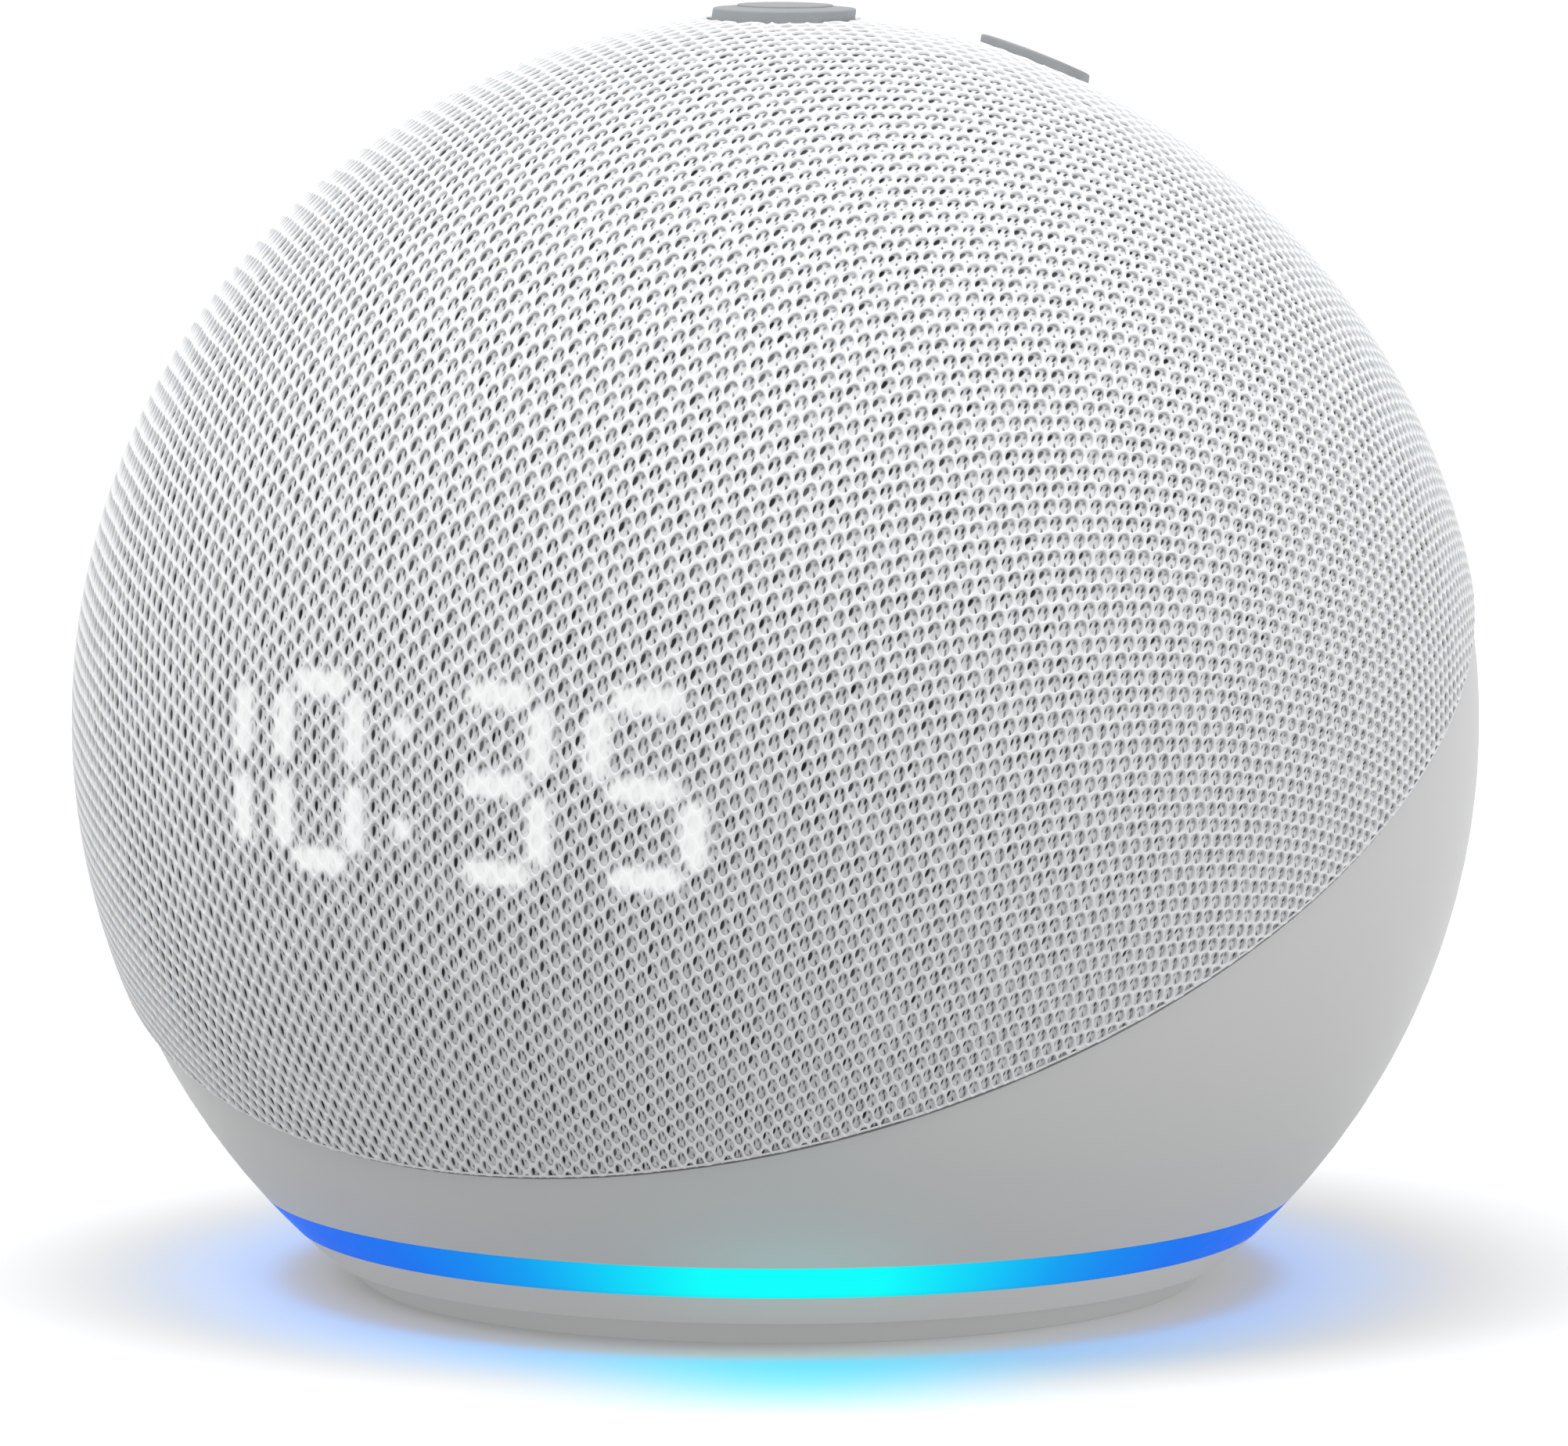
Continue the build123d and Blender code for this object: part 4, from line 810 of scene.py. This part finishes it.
backing, shader, place = new_finish(
    "back_knit", Emission_Strength=1.0, Specular_IOR_Level=0.2
)
weave = place.node("UVMap", {"uv_map": "knit"}, None)
u, v, _ = weave.axes()
wobble = speckle(place, 2300.0, 1.0) - 0.5
wobble_two = speckle(place, 2900.0, 1.0) - 0.5
columns = u / column_pitch
number = place.maths("ROUND", columns)
local_x = (columns - number) * (column_pitch * 1000) + wobble * 0.08
odd_column = place.maths("ABSOLUTE", place.maths("MODULO", number, 2.0))
rows = v / row_pitch + odd_column * 0.5
row_number = place.maths("ROUND", rows)
local_y = (rows - row_number) * (row_pitch * 1000) + wobble_two * 0.08
cell_name = place.node("CombineXYZ", None, {0: number, 1: row_number})
lot = place.node("TexWhiteNoise", {"noise_dimensions": "2D"}, {"Vector": cell_name})


def shade_in_gap(even, other, soft):
    """A soft dark oval of painted shade in each hole, from (x, y, half width, half
    height, lean) in millimetres for the even columns and for the odd ones."""
    x0, y0, wide, tall, lean = (
        odd_column * (b - a) + a if a != b else a for a, b in zip(even, other)
    )
    dx, dy = local_x - x0, local_y - y0
    dx = dx - dy * lean
    far = place.maths("SQRT", (dx / wide) * (dx / wide) + (dy / tall) * (dy / tall))
    return far.within(1 + soft, 1 - soft)


# Painted shade: three dark marks in each hole of the back knit, standing for the shade seen
# through its gaps.
left_gap_shade = shade_in_gap((-0.36, 0.02, 0.18, 0.40, 0.18), (-0.36, -0.05, 0.13, 0.36, 0.1), 0.3)
upper_gap_shade = shade_in_gap((0.12, 0.46, 0.11, 0.16, 0.2), (0.09, 0.36, 0.10, 0.28, 0.0), 0.4)
right_gap_shade = shade_in_gap((0.28, -0.34, 0.10, 0.24, -0.5), (0.31, -0.14, 0.09, 0.30, -0.2), 0.4)
gap_shade = place.maths("MAXIMUM", left_gap_shade, upper_gap_shade * (odd_column * 0.35 + 0.6))
gap_shade = place.maths("MAXIMUM", gap_shade, right_gap_shade * (odd_column * -0.1 + 0.85))
gap_shade = gap_shade * (lot * 0.25 + 0.75)
streak = speckle(weave, 1500.0, 2.0, (1.6, 0.35, 1.0))
shine = place.node("Attribute", {"attribute_name": "clock_light"}, None, out="Fac")
plain = streak.within(0.3, 0.7).mixed((0.66, 0.67, 0.68), (0.84, 0.85, 0.86))
# The painted gap shade darkens the pale knit's base colour.
feed(
    shader,
    Base_Color=shine.mixed(gap_shade.mixed(plain, (0.012, 0.013, 0.015)), (0.10, 0.10, 0.10)),
    Roughness=streak * 0.15 + 0.75,
    Normal=raised(streak - gap_shade, 0.5, 0.00006),
    Emission_Color=(shine * (streak * 0.16 + 0.84 - gap_shade * 0.05)).mixed(
        (0.0, 0.0, 0.0), (0.84, 0.86, 0.85)
    ),
)
cover = grid_piece(
    "cover_back", back_points, back_quads, backing,
    maps=[("OFBake", 0.004 + 0.992 * (flat_at / (2 * blank_reach) + 0.5)), ("knit", flat_at)],
    fades=[("clock_light", clock_light(back_points))],
)

# The hem: the last third of a millimetre of the face is pressed flat and folded in
# at the seam, on rings that go over the edge and down beside the housing's rim.

hem_past = np.linspace(0.00034, -0.00055, 9)
hem_turn, hem_side = np.meshgrid(
    seam_turn + hem_past / cloth_radius, 2 * math.pi * np.arange(900) / 900, indexing="ij"
)
hem_dirs = np.stack([np.cos(hem_turn) * np.cos(hem_side), np.cos(hem_turn) * np.sin(hem_side),
                     np.sin(hem_turn)], -1) @ leaning(seam_lean)
hem_depth = 0.00007 + 0.00004 * np.clip(hem_past - 0.00022, 0, None) / 0.00012
hem_points = on_ball(hem_dirs, hem_depth[:, None] + np.zeros(hem_turn.shape)).reshape(-1, 3)
index = np.arange(hem_turn.size).reshape(hem_turn.shape)
after = np.roll(index, -1, axis=1)
hem_quads = np.stack([index[:-1], index[1:], after[1:], after[:-1]], -1).reshape(-1, 4)
hem = grid_piece("cover_hem", hem_points, hem_quads, yarn)
for piece in (cover, hem, *nets):
    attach(piece, "speaker_body")
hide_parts("fabric_cover")

# ------------------------------------------------------------------ table
# The speaker stands on a plain white table. The ring's light falls on it in a
# soft arc that starts past the foot's shadow.

table_spread = 6.0
spokes, circles = 96, 40
table_radius = np.concatenate([[0.0], np.geomspace(0.01, table_spread, circles)])
angle = 2 * math.pi * np.arange(spokes) / spokes
table_points = np.stack([
    table_radius[1:, None] * np.cos(angle), table_radius[1:, None] * np.sin(angle),
    np.zeros((circles, spokes)),
], -1).reshape(-1, 3)
index = np.arange(circles * spokes).reshape(circles, spokes)
after = np.roll(index, -1, axis=1)
table_quads = np.stack([index[:-1], index[1:], after[1:], after[:-1]], -1).reshape(-1, 4)
middle = np.stack([index[0, 0::2], index[0, 1::2], np.roll(index[0, 0::2], -1),
                   np.full(spokes // 2, circles * spokes)], -1)
table_quads = np.concatenate([table_quads, middle])
table_points = np.concatenate([table_points, [[0.0, 0.0, 0.0]]])

table_white, shader, place = new_finish(
    "table_white", Roughness=0.9, Specular_IOR_Level=0.0, Emission_Strength=1.0
)
x, y, _ = place.axes()
far = place.maths("SQRT", x * x + y * y)
turn = bearing(place)
ahead = turn.within(0.16, 0.0)
start = far.within(0.0335, 0.0375)
fade_front = far.within(0.062, 0.0405)
fade_side = far.within(0.050, 0.0365)
arc = start * (ahead * fade_front + (1 - ahead) * fade_side)
arc_colour = place.node(
    "ValToRGB",
    {
        "stops": (
            (0.00, (0.270, 0.835, 1.0)),
            (0.06, (0.290, 0.800, 1.0)),
            (0.14, (0.400, 0.690, 0.98)),
            (0.24, (0.530, 0.720, 0.97)),
            (0.40, (0.620, 0.750, 0.96)),
            (1.0, (0.640, 0.770, 0.96)),
        )
    },
    {0: turn},
)
# Painted light: the ring's arc is painted into the table's colour and glow. From about 4 cm out,
# full past 7 cm, more glow is painted in, which lifts the lamps' soft shadows on the table.
feed(
    shader,
    Base_Color=arc.mixed((0.80, 0.80, 0.80), arc_colour),
    Emission_Color=arc.mixed(
        far.within(0.038, 0.072).mixed((0.0, 0.0, 0.0), (0.24, 0.24, 0.24)),
        ahead.mixed((0.13, 0.15, 0.17), (0.02, 0.10, 0.20)),
    ),
)
table = grid_piece("table", table_points, table_quads, table_white)
table.visible_diffuse = False  # the room's lower half is what lights the speaker from below

# ------------------------------------------------------------------ light
# Soft studio light: a pale room, one large soft box high on the left in front,
# and a weaker one on the right.

room = bpy.data.worlds.new("room")
room.use_nodes = True
bpy.context.scene.world = room
tree = Wire(room.node_tree)
height = tree.node("TexCoord", None, None, out="Generated").axes()[2]
walls = room.node_tree.nodes["Background"]
feed(walls, Color=height.within(-0.7, 0.8).mixed((0.47, 0.475, 0.48), (0.78, 0.79, 0.80)))


def turned_to(side, up, back, spot):
    """The matrix that turns an object's axes to these three and moves it to a spot."""
    return Matrix([[side[i], up[i], back[i], spot[i]] for i in range(3)]).to_4x4()


def soft_box(name, place, width, watts, colour=(1.0, 1.0, 1.0)):
    """A square area lamp that faces the middle of the ball."""
    lamp = bpy.data.lights.new(name, "AREA")
    lamp.shape, lamp.size, lamp.energy, lamp.color = "SQUARE", width, watts, colour
    holder = bpy.data.objects.new(name, lamp)
    away = np.array(place) - ball_centre
    away /= np.linalg.norm(away)
    side = np.cross([0, 0, 1], away)
    side /= np.linalg.norm(side)
    up = np.cross(away, side)
    holder.matrix_world = turned_to(side, up, away, place)
    bpy.context.scene.collection.objects.link(holder)


soft_box("key_box", (-0.8, -0.9, 1.8), 1.3, 18.5)
soft_box("top_box", (0.2, 0.2, 2.2), 1.6, 13.0)
soft_box("side_box", (1.9, 0.2, 0.9), 1.2, 10.0)

# ------------------------------------------------------------------ camera
# A long lens, a little above the table and round to the speaker's left side.

away, climb, distance = math.radians(31.1), math.radians(6.99), 0.8369
back = np.array([math.sin(away) * math.cos(climb), -math.cos(away) * math.cos(climb),
                 math.sin(climb)])
side = np.array([math.cos(away), math.sin(away), 0.0])
up = np.cross(back, side)
spot = ball_centre + distance * back
lens = bpy.data.cameras.new("camera")
lens.sensor_width, lens.lens = 36.0, 271.5
lens.shift_x, lens.shift_y = 0.0033, -0.0022
lens.clip_start, lens.clip_end = 0.05, 40.0
camera = bpy.data.objects.new("camera", lens)
camera.matrix_world = turned_to(side, up, back, spot)
bpy.context.scene.collection.objects.link(camera)
bpy.context.scene.camera = camera
bpy.context.scene.view_settings.view_transform = "Standard"
